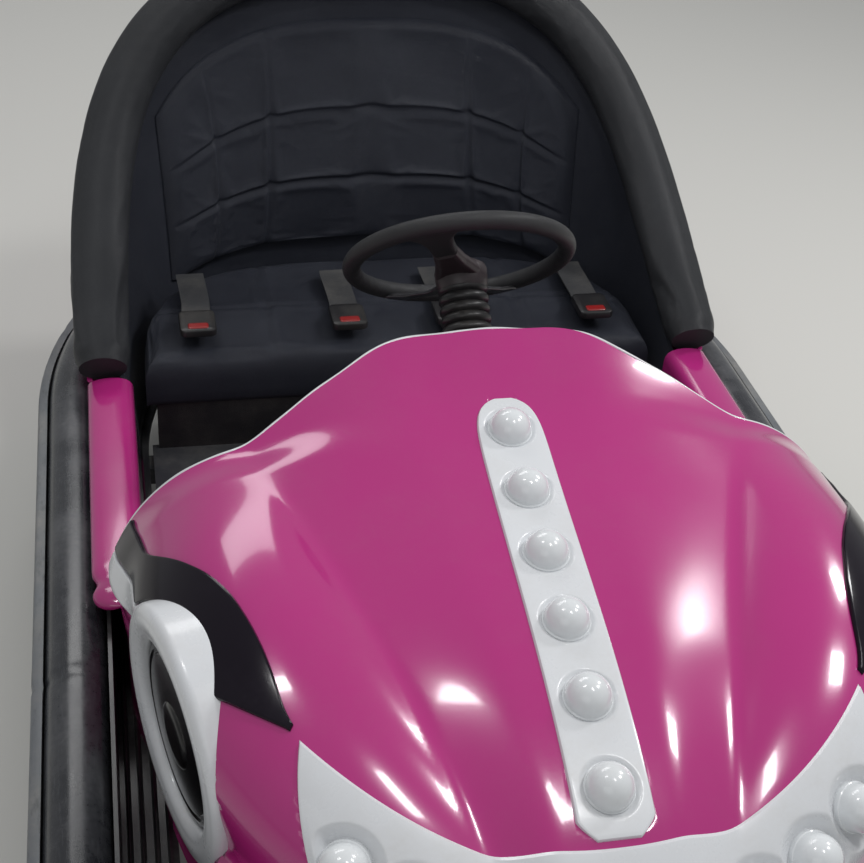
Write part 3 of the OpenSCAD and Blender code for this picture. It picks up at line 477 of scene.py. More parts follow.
def planReach(turn):  # distance from the middle of the rear line to the foot, for a plan angle in degrees
    c, s = np.abs(np.cos(np.radians(turn))), np.maximum(np.sin(np.radians(turn)), 0)
    p = cowl["power"]
    return ((c / cowl["half"]) ** p + (s / cowl["length"]) ** p) ** (-1 / p)


def sideTuck(turn, h):  # how far the skin draws in behind the wheel trims and under the white stripe
    a = np.minimum(turn, 180 - turn)
    ahead = smooth01((a - 3) / 15)
    behindTrim = cowl["sideTuck"] * ahead * (1 - smooth01((a - 38) / 24)) * smooth01((0.8 - h) / 0.3)
    return behindTrim + cowl["underStripe"] * (1 - ahead) * smooth01((0.56 - h) / 0.1)


def cowlPoint(turn, r):  # skin point for a plan angle and a share of the way to the foot
    turn, r = np.broadcast_arrays(np.asarray(turn, float), np.asarray(r, float))
    ct, st = np.cos(np.radians(turn)), np.sin(np.radians(turn))
    reach = planReach(turn)
    x, f = r * reach * ct, r * reach * st
    n = fallPower(st ** 2)
    h = np.maximum(0, 1 - r ** n) ** (1 / n)
    y = cowl["rearY"] - f + dashBack(x) * clamp01(1 - f / cowl["dashFade"])
    z = cowl["low"] + (crownHeight(x, y) - cowl["low"]) * h
    bulge = 1 + 0.03 * clamp01((h - 0.3) / 0.15) * ct ** 2 - sideTuck(turn, h) / cowl["half"]
    return np.stack([x * bulge, y, z], -1)


def cowlOff(turn, r, off):  # skin point pushed out along the skin's own normal
    turn, r = np.broadcast_arrays(np.asarray(turn, float), np.asarray(r, float))
    p = cowlPoint(turn, r)
    dt = cowlPoint(turn + 0.4, r) - cowlPoint(turn - 0.4, r)
    dr = cowlPoint(turn, np.minimum(0.9995, r + 0.002)) - cowlPoint(turn, r - 0.002)
    n = np.cross(dt, dr)
    n /= np.maximum(np.linalg.norm(n, axis=-1, keepdims=True), 1e-9)
    return p + np.asarray(off)[..., None] * n


def cowlHeight(x, y):  # height of the skin over a plan position
    e = dashBack(x)
    near = (cowl["rearY"] + e - y) / (1 + e / cowl["dashFade"])
    f = np.where(near < cowl["dashFade"], near, cowl["rearY"] - y)
    p = cowl["power"]
    r = ((np.abs(x) / cowl["half"]) ** p + (np.maximum(f, 0) / cowl["length"]) ** p) ** (1 / p)
    n = fallPower(f ** 2 / (f ** 2 + x ** 2 + 0.01))
    h = np.maximum(0, 1 - np.minimum(r, 1) ** n) ** (1 / n)
    return cowl["low"] + (crownHeight(x, y) - cowl["low"]) * h


band = {"turn": 55.6, "rake": 7.4, "meanTurn": 34.0, "r": 0.875, "foot": 335.0, "footRise": 15.0,
        "domes": 9, "spread": 0.86, "proud": 3.0, "recess": 12.5, "recessR": 43.0, "behind": 14.0,
        "columns": 400, "rows": 70}
strip = {"half": 41.0, "length": 548.0, "rear": cowl["rearY"] - 6, "domes": 6, "proud": 3.2,
         "dimple": 4.2, "dimpleR": 28.5, "corner": 0.034, "behind": 5.0, "rows": 300, "columns": 50}
lamp = {"r": 25.0, "lift": 2.0, "collar": 1.6, "collarHigh": 6.6}
pod = {"x": 413.0, "y": -508.0, "z": 368.0, "yaw": -15.0, "lift": -1.0, "trimR": 127.0, "trimRound": 21.0,
       "trimEdge": 12.0, "trimZ": -6.0, "wallLow": -62.0, "wallIn": 11.0, "sink": -70.0}
sidePanel = {"columns": 210, "least": 1.8, "swell": 3.2, "rounding": 3.2, "back": 1.5,
             "floor": pod["sink"] - 10}
stripe = {"last": 22.0, "foot": 0.971, "gap": 0.002, "columns": 90, "least": 1.6, "swell": 3.0,
          "rounding": 3.0, "back": 1.5, "floor": pod["sink"] - 18}


def podPlace(points):  # from the wheel trim's own frame to the car's left side
    return turned(turned(points, "Y", 90 - pod["lift"]), "Z", pod["yaw"]) + [pod["x"], pod["y"], pod["z"]]


def podLocal(points):  # from the car's left side, or its mirror image, to the wheel trim's own frame
    moved = np.stack([np.abs(points[..., 0]), points[..., 1], points[..., 2]], -1)
    moved = moved - [pod["x"], pod["y"], pod["z"]]
    return turned(turned(moved, "Z", -pod["yaw"]), "Y", pod["lift"] - 90)


def sinkInPod(grid, floor):  # draws a grid's points inside the trim's wall down behind the cap
    axis = podPlace(np.array([[0.0, 0, 1]])) - podPlace(np.array([[0.0, 0, 0]]))
    local = podLocal(grid)
    away = np.hypot(local[..., 0], local[..., 1])
    reach = pod["trimR"] + pod["trimRound"] - 4
    push = smooth01((reach - away) / 6) * (np.abs(local[..., 2]) < 150) * np.maximum(local[..., 2] - floor, 0)
    shift = axis[0] * push[..., None]
    shift[..., 0] *= np.sign(grid[..., 0])
    return grid - shift


def bandAngles(turn, r):  # place of a skin point on the front band: across (-1 to 1) and down (0 to 1)
    n = fallPower(np.sin(np.radians(turn)) ** 2)
    s = np.arcsin(clamp01(r ** (n / 2)))
    s1, s2 = bandEnds(turn, n, (90 - turn) / band["meanTurn"])
    v = (s - s1) / (s2 - s1)
    return (90 - turn) / (90 - band["turn"] - band["rake"] * clamp01(v)), v


def bandEnds(turn, n, t):  # the band's upper and lower edge as angles of the skin's fall
    edge = cowlPoint(turn, 0.95)
    c = crownHeight(edge[..., 0], edge[..., 1])
    h = (band["foot"] + band["footRise"] * clamp01(t * t) - cowl["low"]) / (c - cowl["low"])
    return np.arcsin(band["r"] ** (n / 2)), np.arccos(h ** (n / 2))


def bandPoint(t, v, off):  # band point for a share across, a share down and a height over the skin
    t, v = np.broadcast_arrays(np.asarray(t, float), np.asarray(v, float))
    turn = 90 - t * (90 - band["turn"] - band["rake"] * v)
    n = fallPower(np.sin(np.radians(turn)) ** 2)
    s1, s2 = bandEnds(turn, n, t)
    s = s1 + (s2 - s1) * v
    return cowlOff(turn, np.sin(s) ** (2 / n), off)


def bandDomeT():  # shares across the band at which its domes stand
    return (np.arange(band["domes"]) / (band["domes"] - 1) * 2 - 1) * band["spread"]


def stripHalf(v):  # half width of the bonnet strip: round at the rear, cut corners at the nose
    rearEnd = np.sqrt(np.maximum(0.02, 1 - clamp01(1 - 2 * v) ** 14))
    noseEnd = 1 - 0.46 * clamp01((v - 1 + strip["corner"]) / strip["corner"]) ** 1.3
    return strip["half"] * np.where(v < 0.5, rearEnd, noseEnd)


def lipReach(turn, z):  # how far the lip under the front band stands out
    t = (90 - turn) / lip["spread"]
    out = lip["ends"] + lip["middle"] * clamp01(1 - t ** 2) ** 0.4
    return out * np.exp(-np.abs((z - lip["z"]) / lip["thick"]) ** 3) * smooth01((1 - np.abs(t)) / 0.26)


def skinRecess(turn, r, skin):  # how far the skin steps back under the band and the strip
    t, v = bandAngles(turn, r)
    inBand = smooth01((0.985 - np.abs(t)) / 0.03) * smooth01((v - 0.04) / 0.05) * smooth01((0.96 - v) / 0.05)
    down = (strip["rear"] - skin[..., 1]) / strip["length"]
    inStrip = smooth01((down - 0.01) / 0.02) * smooth01((0.992 - down) / 0.014)
    inStrip *= smooth01((stripHalf(clamp01(down)) - 6 - np.abs(skin[..., 0])) / 3)
    return cowl["underBand"] * inBand + cowl["underStrip"] * inStrip


def buildCowl():  # skin on a grid of plan angle and share of the way to the foot, denser down the wall
    plan = np.linspace(0, 180, cowl["turns"] + 1)
    across, ahead = np.cos(np.radians(plan)), np.sin(np.radians(plan))
    n = fallPower(ahead ** 2)[:, None]
    flat = np.linspace(0, cowl["flatShare"], cowl["flatRows"])[None, :-1] * np.ones((len(plan), 1))
    first = np.arcsin(cowl["flatShare"] ** (n / 2))
    s = first + (np.pi / 2 - first) * np.linspace(0, 1, cowl["wallRows"])[None]
    r = np.concatenate([flat, np.sin(s) ** (2 / n)], 1)
    turn = plan[:, None] * np.ones_like(r)
    skin = cowlPoint(turn, r)
    normal = gridNormals(skin)
    wall = normal[:, -12:-11]  # a row of the upright wall tells which way is out
    normal *= np.sign(wall[..., 0:1] * across[:, None, None] - wall[..., 1:2] * ahead[:, None, None])
    inner = skin - normal * cowl["wall"]
    recess = normal * skinRecess(turn, r, skin)[..., None]
    skin, inner = skin - recess, inner - recess
    out = np.stack([across * 1.2, -ahead, np.zeros_like(plan)], -1)[:, None]
    out /= np.linalg.norm(out, axis=-1, keepdims=True)
    skin = skin + out * lipReach(turn, skin[..., 2])[..., None]
    return slabParts(sinkInPod(skin, pod["sink"]), sinkInPod(inner, pod["sink"] - 8))


frontCowl = makePiece("frontCowl", buildCowl(), "chassis", gelPink, ["front_cowl"],
                      sharpAngle=50)
print("stage: cowl", len(frontCowl.data.polygons))


def roundedEdge(distance, radius):  # quarter circle from 0 at the edge to 1 at a radius inside
    u = 1 - clamp01(distance / radius)
    return np.sqrt(np.maximum(0, 1 - u * u))


def stripDomeY():  # places of the strip's domes along the car
    return strip["rear"] - strip["length"] * (np.arange(strip["domes"]) + 0.5) / strip["domes"]


def buildStrip():  # bonnet strip: the skin lifted a little, edges rounded, a dimple under each dome
    v = np.linspace(0, 1, strip["rows"])[:, None]
    u = np.linspace(-1, 1, strip["columns"])[None]
    half = stripHalf(v)
    x, y = u * half, strip["rear"] - strip["length"] * v + 0 * u
    z = cowlHeight(x, y)
    base = np.stack([x, y, z], -1)
    normal = gridNormals(base)
    normal *= np.sign(normal[..., 2:3])
    edge = np.minimum((1 - np.abs(u)) * half, np.minimum(v, 1 - v) * strip["length"])
    height = strip["proud"] * roundedEdge(edge, 3.0)
    for domeY in stripDomeY():
        centre = np.array([0, domeY, cowlHeight(0.0, domeY)])
        away = np.linalg.norm(base - centre, axis=-1)
        height = height - strip["dimple"] * smooth01((strip["dimpleR"] + 3.5 - away) / 6)
    return slabParts(base + normal * height[..., None], base - normal * strip["behind"])


makePiece("hoodStrip", buildStrip(), "chassis", gelWhite, ["hood_light_strip"])


def domeParts(origin, tilt, spin, foot):  # moulded dome: low collar, then a hemisphere
    a = np.radians(np.linspace(0, 90, 15))
    collar, high = lamp["r"] + lamp["collar"], foot + lamp["collarHigh"]
    profile = [(0, foot), (collar, foot), (collar, high), (collar - 1, high + 1)]
    profile += [(lamp["r"] * math.cos(k), lamp["lift"] + lamp["r"] * math.sin(k)) for k in a]
    verts, faces = latheParts(profile, 44, closedProfile=False)
    return turned(turned(verts, "Y", tilt), "Z", spin) + origin, faces


def stripDomes():  # domes in a row down the strip, each tilted with the skin
    parts = []
    for y in stripDomeY():
        z = [float(cowlHeight(0.0, y + d)) for d in (-5, 0, 5)]
        parts.append(domeParts([0, y, z[1]], math.degrees(math.atan((z[2] - z[0]) / 10)), -90, -6.0))
    return joinParts(parts)


makePiece("hoodLamps", stripDomes(), "chassis", domeWhite, ["hood_lamps"])


def buildBand():  # front band: the skin lifted a little, edges rounded, a scalloped bowl round each dome
    t = np.linspace(-1, 1, band["columns"])[:, None]
    v = np.linspace(0, 1, band["rows"])[None]
    base = bandPoint(t, v, 0)
    lift = bandPoint(t, v, 1) - base
    centres = bandPoint(bandDomeT(), 0.5, 0)
    across = np.linalg.norm(np.gradient(base, axis=0), axis=-1).sum(0).mean()
    downLength = np.linalg.norm(np.gradient(base, axis=1), axis=-1).sum(1)[:, None]
    edge = np.minimum((1 - np.abs(t)) * across / 2, np.minimum(v, 1 - v) * downLength)
    height = band["proud"] * roundedEdge(edge, 3.0)
    away = np.min([np.linalg.norm(base - c, axis=-1) for c in centres], axis=0)
    bowl = softRamp(np.minimum((band["recessR"] - away) / 14, 1.1), 0.08)
    bowl = np.minimum(bowl, 1) * smooth01((edge - 3) / 7) * smooth01((0.965 - np.abs(t)) / 0.05)
    height = height - band["recess"] * bowl
    return slabParts(base + lift * height[..., None], base - lift * band["behind"])


makePiece("frontBand", buildBand(), "chassis", gelWhite, ["front_light_band"])


def bandDomes():  # domes across the band, each along the skin's normal
    parts = []
    for t in bandDomeT():
        p = bandPoint(t, 0.5, 0)
        n = bandPoint(t, 0.5, 1) - p
        parts.append(domeParts(p, math.degrees(math.acos(n[2])), math.degrees(math.atan2(n[1], n[0])), -13.0))
    return joinParts(parts)


makePiece("frontLamps", bandDomes(), "chassis", domeWhite, ["front_lamps"])
print("stage: lamps")


# Side panels, wheel trims and edge trims

panelTop = np.array([(1, 0.903), (15, 0.885), (24, 0.835), (31, 0.803), (37, 0.79), (43, 0.797), (48, 0.817),
                     (54.3, 0.869)])  # plan angle and share of the way to the foot
panelFoot = np.array([(1, 0.947), (15, 0.933), (20, 0.938), (24, 0.914), (30, 0.893), (37, 0.893),
                      (44, 0.921), (48, 0.903), (54.3, 0.874)])


def softTable(table, a, width=2.2):  # linear table, rounded by averaging over a width
    steps = np.linspace(-width, width, 9)
    return np.mean([np.interp(a + d, table[:, 0], table[:, 1]) for d in steps], axis=0)


def panelGrid(first, last, count, top, foot):  # skin points and unit normals between two lines on the side
    a = np.linspace(first, last, count)[:, None]
    k = np.linspace(0, 1, 40)[None]
    r0, r1 = top(a), foot(a)
    r = r0 + (r1 - r0) * k
    base = cowlOff(a, r, np.zeros_like(r))
    lift = cowlOff(a, r, np.ones_like(r)) - base
    along = np.cumsum(np.linalg.norm(np.diff(base, axis=0, prepend=base[:1]), axis=-1), axis=0)
    width = np.linalg.norm(base[:, -1] - base[:, 0], axis=-1)[:, None]
    edge = np.minimum(np.minimum(k, 1 - k) * width, np.minimum(along, along[-1:] - along))
    return base, lift, edge


def skinPanel(grid, panel):  # panel on the skin that dips behind the trim's cap, on both sides of the car
    base, lift, edge = grid
    top = base + lift * (panel["least"] + panel["swell"] * roundedEdge(edge, panel["rounding"]))[..., None]
    back = base - lift * panel["back"]
    return mirrorParts(slabParts(sinkInPod(top, panel["floor"]), sinkInPod(back, panel["floor"] - 4)))


def panelTopLine(a):  # upper line of the side panel for a plan angle
    return softTable(panelTop, a)


def panelFootLine(a):  # lower line, with sharper corners
    return softTable(panelFoot, a, 0.8)


def archPanelParts():  # black side panel between its two lines
    first, last = panelTop[0, 0], panelTop[-1, 0]
    return skinPanel(panelGrid(first, last, sidePanel["columns"], panelTopLine, panelFootLine), sidePanel)


makePiece("archPanels", archPanelParts(), "chassis", gelBlack, ["arch_panels"])


def trimRingParts():  # flattened white tube on a short wall round the hole in the cowl
    r, c, z, ball = pod["trimRound"], pod["trimR"], pod["trimZ"], pod["trimEdge"]
    right = np.radians(np.linspace(0, 90, 9))
    left = np.radians(np.linspace(90, 270, 17))
    flat = np.linspace(0.1, 0.9, 6)
    section = [(c + r, pod["wallLow"])]
    section += [(c + r - ball + ball * math.cos(k), z + ball * math.sin(k)) for k in right]
    section += [(c + (r - ball) * (1 - 2 * k), z + ball + 1.6 * math.sin(math.pi * k)) for k in flat]
    section += [(c - r + ball + ball * math.cos(k), z + ball * math.sin(k)) for k in left]
    section += [(c + r - pod["wallIn"], z - ball), (c + r - pod["wallIn"], pod["wallLow"])]
    verts, faces = latheParts(section, 200)
    return mirrorParts((podPlace(verts), faces))


makePiece("wheelTrims", trimRingParts(), "chassis", gelWhite, ["wheel_trims"])


def trimCapParts():  # shallow domed cap that closes the ring, with a groove near its edge and a low boss
    r = pod["trimR"] - pod["trimRound"] - 0.4
    dome = r - 16
    profile = [(0, -14), (r - 8, -14), (r - 8, -20), (r - 2, -25.5), (r + 31, -25.5), (r + 31, -18.6),
               (r, -18.6), (r, -9), (r - 1.5, -6.5), (r - 4, -5.4), (r - 9, -4.6), (r - 11, -6.4),
               (r - 14, -6.4), (dome, -4.4)]
    profile += [(x, -4.4 + 3.2 * (1 - (x / dome) ** 2)) for x in (80, 70, 60, 50, 42, 38)]
    profile += [(36, 0.0), (33, 1.2), (24, 1.5), (12, 1.6), (0, 1.6)]
    verts, faces = latheParts(profile, 160, closedProfile=False)
    return mirrorParts((podPlace(verts), faces))


makePiece("wheelCaps", trimCapParts(), "chassis", capBlack, ["wheel_caps"])


def stripeParts():  # white stripe that runs from the cowl's rear corner down into the trim ring
    grid = panelGrid(panelFoot[0, 0], stripe["last"], stripe["columns"],
                     lambda a: panelFootLine(a) + stripe["gap"], lambda a: np.full_like(a, stripe["foot"]))
    return skinPanel(grid, stripe)


edging = {"r": 2.8, "off": 2.4, "wave": 0.6, "steps": 160, "sides": 12}


def edgeTrimParts():  # thin raw edge along the rear of the cowl, a little wavy
    r = np.linspace(1, 0, edging["steps"])
    half = cowlPoint(np.full_like(r, 180.0), r)
    path = np.concatenate([half, half[-2::-1] * [-1, 1, 1]])
    a = np.linspace(0, 2 * np.pi, edging["sides"], endpoint=False)[None]
    wave = 0.6 * np.sin(path[:, :1] * 0.11) + 0.4 * np.sin(path[:, :1] * 0.047 + 1)
    back = edging["off"] + wave * edging["wave"] + edging["r"] * np.cos(a)
    up = -edging["off"] + edging["r"] * np.sin(a) + 0 * wave
    return sweepParts(path[:, None] + np.stack([0 * back, back, up], -1))


makePiece("edgeTrim", joinParts([edgeTrimParts(), stripeParts()]), "chassis", gelWhite,
          ["cowl_edge_trim"])
print("stage: trims")


# Padded hoop, shell, tub, seat and belts

hoop = {"control": np.array([[474.0, 300, 330], [474, 700, 500], [450, 840, 800], [0, 810, 800]]),
        "middle": (0, 400, 350), "padOut": 43.0, "padDeep": 34.0, "padFlat": 28.0, "gap": 0.5, "pinch": 0.16,
        "puff": 3.0, "steps": 300, "sides": 40}


def hoopCentre(t):  # cubic curve from the left foot (t = -1) over the top to the right foot (t = 1)
    t = np.asarray(t, float)
    u = 1 - np.abs(t)
    c = hoop["control"]
    p = ((1 - u) ** 3)[..., None] * c[0] + (3 * (1 - u) ** 2 * u)[..., None] * c[1] \
        + (3 * (1 - u) * u * u)[..., None] * c[2] + (u ** 3)[..., None] * c[3]
    return p * np.where(t > 0, -1.0, 1.0)[..., None] ** np.array([1, 0, 0])


def hoopFrame(t):  # unit directions along the hoop, away from its middle and across
    t = np.asarray(t, float)
    along = hoopCentre(np.minimum(1, t + 0.01)) - hoopCentre(np.maximum(-1, t - 0.01))
    along /= np.linalg.norm(along, axis=-1, keepdims=True)
    v = hoopCentre(t) - hoop["middle"]
    n = v - np.sum(v * along, -1, keepdims=True) * along
    n /= np.linalg.norm(n, axis=-1, keepdims=True)
    return along, n, np.cross(along, n)


def hoopAt(t, n, b):  # point at a distance outward and across from the centre line
    _, outward, across = hoopFrame(t)
    return hoopCentre(t) + np.asarray(n)[..., None] * outward + np.asarray(b)[..., None] * across


cloth = {"pressure": 4.0, "grow": 0.005, "frames": 14, "quality": 4, "mass": 0.15, "stretch": 12.0,
         "shear": 6.0, "bend": 0.4}


def puffPad(part, held, cap):  # cover blown up under pressure where it isn't held, then subdivided once
    verts, faces = part
    mesh = bpy.data.meshes.new("padRest")
    mesh.from_pydata((np.asarray(verts) * mm).tolist(), [], faces)
    pad = bpy.data.objects.new("padRest", mesh)
    scene.collection.objects.link(pad)
    group = pad.vertex_groups.new(name="held")
    for level in (0.25, 0.5, 0.75, 1.0):
        group.add(np.nonzero(np.abs(np.asarray(held).ravel() - level) <= 0.125)[0].tolist(), level, "REPLACE")
    cover = pad.modifiers.new("cover", "CLOTH")
    cover.settings.quality = cloth["quality"]
    cover.settings.mass = cloth["mass"]
    cover.settings.tension_stiffness = cover.settings.compression_stiffness = cloth["stretch"]
    cover.settings.shear_stiffness = cloth["shear"]
    cover.settings.bending_stiffness = cloth["bend"]
    cover.settings.shrink_min = -cloth["grow"]
    cover.settings.use_pressure = True
    cover.settings.uniform_pressure_force = cloth["pressure"]
    cover.settings.effector_weights.gravity = 0
    cover.settings.vertex_group_mass = "held"
    cover.point_cache.frame_start, cover.point_cache.frame_end = 1, cloth["frames"]
    for frameNumber in range(1, cloth["frames"] + 1):
        scene.frame_set(frameNumber)
    blown = pad.evaluated_get(bpy.context.evaluated_depsgraph_get()).data
    after = np.empty(len(blown.vertices) * 3)
    blown.vertices.foreach_get("co", after)
    move = after.reshape(-1, 3) / mm - verts
    far = np.linalg.norm(move, axis=1, keepdims=True)
    move *= cap * np.tanh(far / cap) / np.maximum(far, 1e-6)
    pad.modifiers.remove(cover)
    scene.frame_set(1)
    mesh.vertices.foreach_set("co", ((verts + move) * mm).ravel())
    finer = pad.modifiers.new("finer", "SUBSURF")
    finer.levels = finer.render_levels = 1
    done = bpy.data.meshes.new_from_object(pad.evaluated_get(bpy.context.evaluated_depsgraph_get()))
    points = np.empty(len(done.vertices) * 3)
    done.vertices.foreach_get("co", points)
    doneFaces = [list(p.vertices) for p in done.polygons]
    print("cover moved by up to", round(float(np.abs(move).max()), 1), "mm")
    bpy.data.objects.remove(pad)
    return points.reshape(-1, 3) / mm, doneFaces


def hoopPadParts():  # roll with a flat underside, pinched ends and faint wrinkles
    t = np.linspace(-1, 1, hoop["steps"])[:, None]
    a = np.linspace(0, 2 * np.pi, hoop["sides"], endpoint=False)[None]
    pinched = 1 - hoop["pinch"] * np.exp(-((1 - np.abs(t)) / 0.012) ** 2)
    folds = 0.006 * np.sin(t * 190 + 3 * np.sin(a * 2)) * np.exp(-(np.abs(np.cos(a)) * 1.2) ** 2)
    size = pinched * (1 + folds + 0.004 * np.sin(t * 67 + a))
    n = hoop["padOut"] * np.cos(a) * size
    b = np.minimum(hoop["padFlat"], hoop["padDeep"] * np.sin(a) * size)
    nearFlat = np.round(4 * smooth01((b - hoop["padFlat"] + 9) / 9)) / 4
    held = np.maximum(nearFlat, (np.abs(t) > 0.985) * 1.0)
    return puffPad(sweepParts(hoopAt(t + 0 * a, n, b)), held, hoop["puff"])


hoopPad = makePiece("hoopPad", hoopPadParts(), "chassis", hoopVinyl, ["hoop_pad"],
                    sharpAngle=70)

shell = {"foot": 160.0, "step": 274.0, "ledge": 303.0, "reach": 24.0, "gap": 3.0, "swell": 14.0,
         "underHoop": 24.0, "columns": 181}


def rearLine(depth, turn):  # rear half of the ring's outline, turn 0 at the side and 90 at the middle
    c, s = np.cos(np.radians(turn)), np.sin(np.radians(turn))
    r = ring["rearSideR"] - depth
    first = np.stack([halfW - ring["rearSideR"] + r * c, rearStart + r * s], -1)
    second = np.stack([(rearEndR - depth) * c, rearStart + rearEndY + (rearEndR - depth) * s], -1)
    return np.where((turn < ring["rearSideTurn"])[..., None], first, second)


def rearShellParts():  # from the ring's ledge up to the underside of the hoop's pad
    t = np.linspace(-1, 1, shell["columns"])
    turn = 90 * (1 - np.abs(t))
    side = np.where(t > 0, -1.0, 1.0)
    depth = ring["band"] + ring["tube"] + ring["rim"] + shell["gap"]
    base = rearLine(depth, turn)
    out = rearLine(depth - shell["reach"], turn) - base

    def flatPoint(xy, z):
        return np.stack([side * xy[:, 0], xy[:, 1], np.full_like(t, z)], -1)

    outward = flatPoint(out / np.linalg.norm(out, axis=-1, keepdims=True), 0.0)
    swell = shell["swell"] * (1 - np.abs(t))[:, None] * outward
    ledge = flatPoint(base + out, shell["ledge"])
    top = hoopAt(t, np.full_like(t, shell["underHoop"]), np.full_like(t, hoop["padFlat"] + hoop["gap"]))
    knots = np.stack([flatPoint(base, shell["foot"]), flatPoint(base, shell["step"]), ledge,
                      ledge * 0.66 + top * 0.34 + swell, ledge * 0.33 + top * 0.67 + swell, top], 1)
    s = np.concatenate([np.linspace(0, 1, 8)[:-1], np.linspace(1, 2, 8)[:-1], np.linspace(2, 5, 30)])
    k = np.minimum(s.astype(int), 4)
    f = (s - k)[None, :, None]
    line = knots[:, k] * (1 - f) + knots[:, k + 1] * f
    for _ in range(6):  # soften the corners
        line[:, 1:-1] = (line[:, :-2] + 2 * line[:, 1:-1] + line[:, 2:]) / 4
    return slabParts(line, line - cowl["wall"] * outward[:, None])


makePiece("rearShell", rearShellParts(), "chassis", gelPink, ["rear_shell"], sharpAngle=50)

tub = {"wall": 8.0, "bow": 4.0, "half": 425.0, "front": 300.0, "deep": 360.0, "floor": 160.0,
       "sidePower": 0.55, "rearPower": 0.7, "underHoop": -34.0, "columns": 161, "rows": 40}


def tubFoot(t, inset=0.0):  # plan of the tub's foot for a place round the hoop, drawn in by an inset
    turn = np.radians(90 * (1 - np.abs(t)))
    x = np.where(t > 0, -1.0, 1.0) * (tub["half"] - inset) * np.maximum(np.cos(turn), 0) ** tub["sidePower"]
    y = tub["front"] + (tub["deep"] - inset) * np.maximum(np.sin(turn), 0) ** tub["rearPower"]
    return np.stack([x, y], -1)


def tubPoint(t, v, off):  # tub wall for a place round the hoop, a share of the way up and an offset
    t, v = np.broadcast_arrays(np.asarray(t, float), np.asarray(v, float))
    foot = np.concatenate([tubFoot(t), np.full_like(t, tub["floor"])[..., None]], -1)
    top = hoopAt(t, np.full_like(t, tub["underHoop"]), np.full_like(t, hoop["padFlat"] + hoop["gap"]))
    _, outward, _ = hoopFrame(t)
    flat = np.stack([outward[..., 0], outward[..., 1], np.full_like(t, 0.001)], -1)
    flat /= np.linalg.norm(flat, axis=-1, keepdims=True)
    w = v[..., None]
    off = np.asarray(off, float)[..., None] - tub["bow"] * np.sin(np.pi * w)
    return foot * (1 - w) + top * w + off * (flat * (1 - w) + outward * w)


def tubParts():  # shell between the wall's two faces
    t = np.linspace(-1, 1, tub["columns"])[:, None]
    v = np.linspace(0, 1, tub["rows"])[None]
    return slabParts(tubPoint(t, v, 0.0), tubPoint(t, v, tub["wall"]))


makePiece("seatTub", tubParts(), "chassis", seatVinyl, ["seat_surround"], sharpAngle=60)

seatPad = {"reach": 0.5, "low": 0.31, "high": 0.91, "base": 3.0, "swell": 46.0, "pillow": 5.0,
           "pillowWide": 26.0, "pillowHigh": 30.0, "columns": 6, "rows": 3, "columnWide": 52.0,
           "rowHigh": 62.0, "seam": 7.0, "seamWide": 5.5, "puff": 9.0, "pointsAcross": 145, "pointsUp": 76}


def fromSeam(place, count, size):  # distance from the nearest seam of equal pads, for a share of the way
    return (1 - np.abs(place * count % 1 - 0.5) * 2) * size


def pillow(distance, reach):  # rises from a seam and levels off at its reach
    return 1 - (1 - np.minimum(1, distance / reach)) ** 2


def seatBackParts():  # padded back: a swell over the whole with sewn channels
    i = np.linspace(-1, 1, seatPad["pointsAcross"])[:, None]
    k = np.linspace(0, 1, seatPad["pointsUp"])[None]
    t = seatPad["reach"] * i + 0 * k
    v = seatPad["low"] + (seatPad["high"] - seatPad["low"]) * k + 0 * i
    swell = np.sqrt(np.maximum(0, 1 - np.abs(i) ** 4)) * np.sqrt(np.sin(np.radians(12 + 156 * k)))
    nearColumn = fromSeam((i + 1) / 2, seatPad["columns"], seatPad["columnWide"])
    nearRow = fromSeam(k, seatPad["rows"], seatPad["rowHigh"])
    inside = (np.abs(i) < 0.97) * 1.0
    seams = np.exp(-(nearColumn / seatPad["seamWide"]) ** 2) * inside
    seams = seams + np.exp(-(nearRow / seatPad["seamWide"]) ** 2) * (np.abs(k - 0.5) < 0.49)
    pads = pillow(nearColumn, seatPad["pillowWide"]) * pillow(nearRow, seatPad["pillowHigh"])
    pads = seatPad["swell"] + seatPad["pillow"] * pads - seatPad["seam"] * seams
    height = seatPad["base"] + pads * swell
    sewn = np.maximum((nearColumn < 5.5) * inside, (nearRow < 4.5) * 1.0)
    sewn = np.maximum(sewn, (swell < 0.45) * 1.0) + 0 * t
    held = np.stack([sewn, np.ones_like(sewn)])
    return puffPad(slabParts(tubPoint(t, v, -height), tubPoint(t, v, -1.0)), held, seatPad["puff"])


seatBack = makePiece("seatBack", seatBackParts(), "chassis", seatVinyl, ["seat_back"],
                     sharpAngle=70)

cushion = {"inset": 14.0, "front": 25.0, "low": 240.5, "side": 286.0, "top": 40.0, "rounding": 34.0,
           "crown": 10.0, "seams": (-210, 0, 210), "crossSeam": 470.0, "seam": 7.0, "crossDeep": 6.0,
           "seamWide": 6.0, "puff": 7.0, "pointsAcross": 141, "pointsDeep": 51}


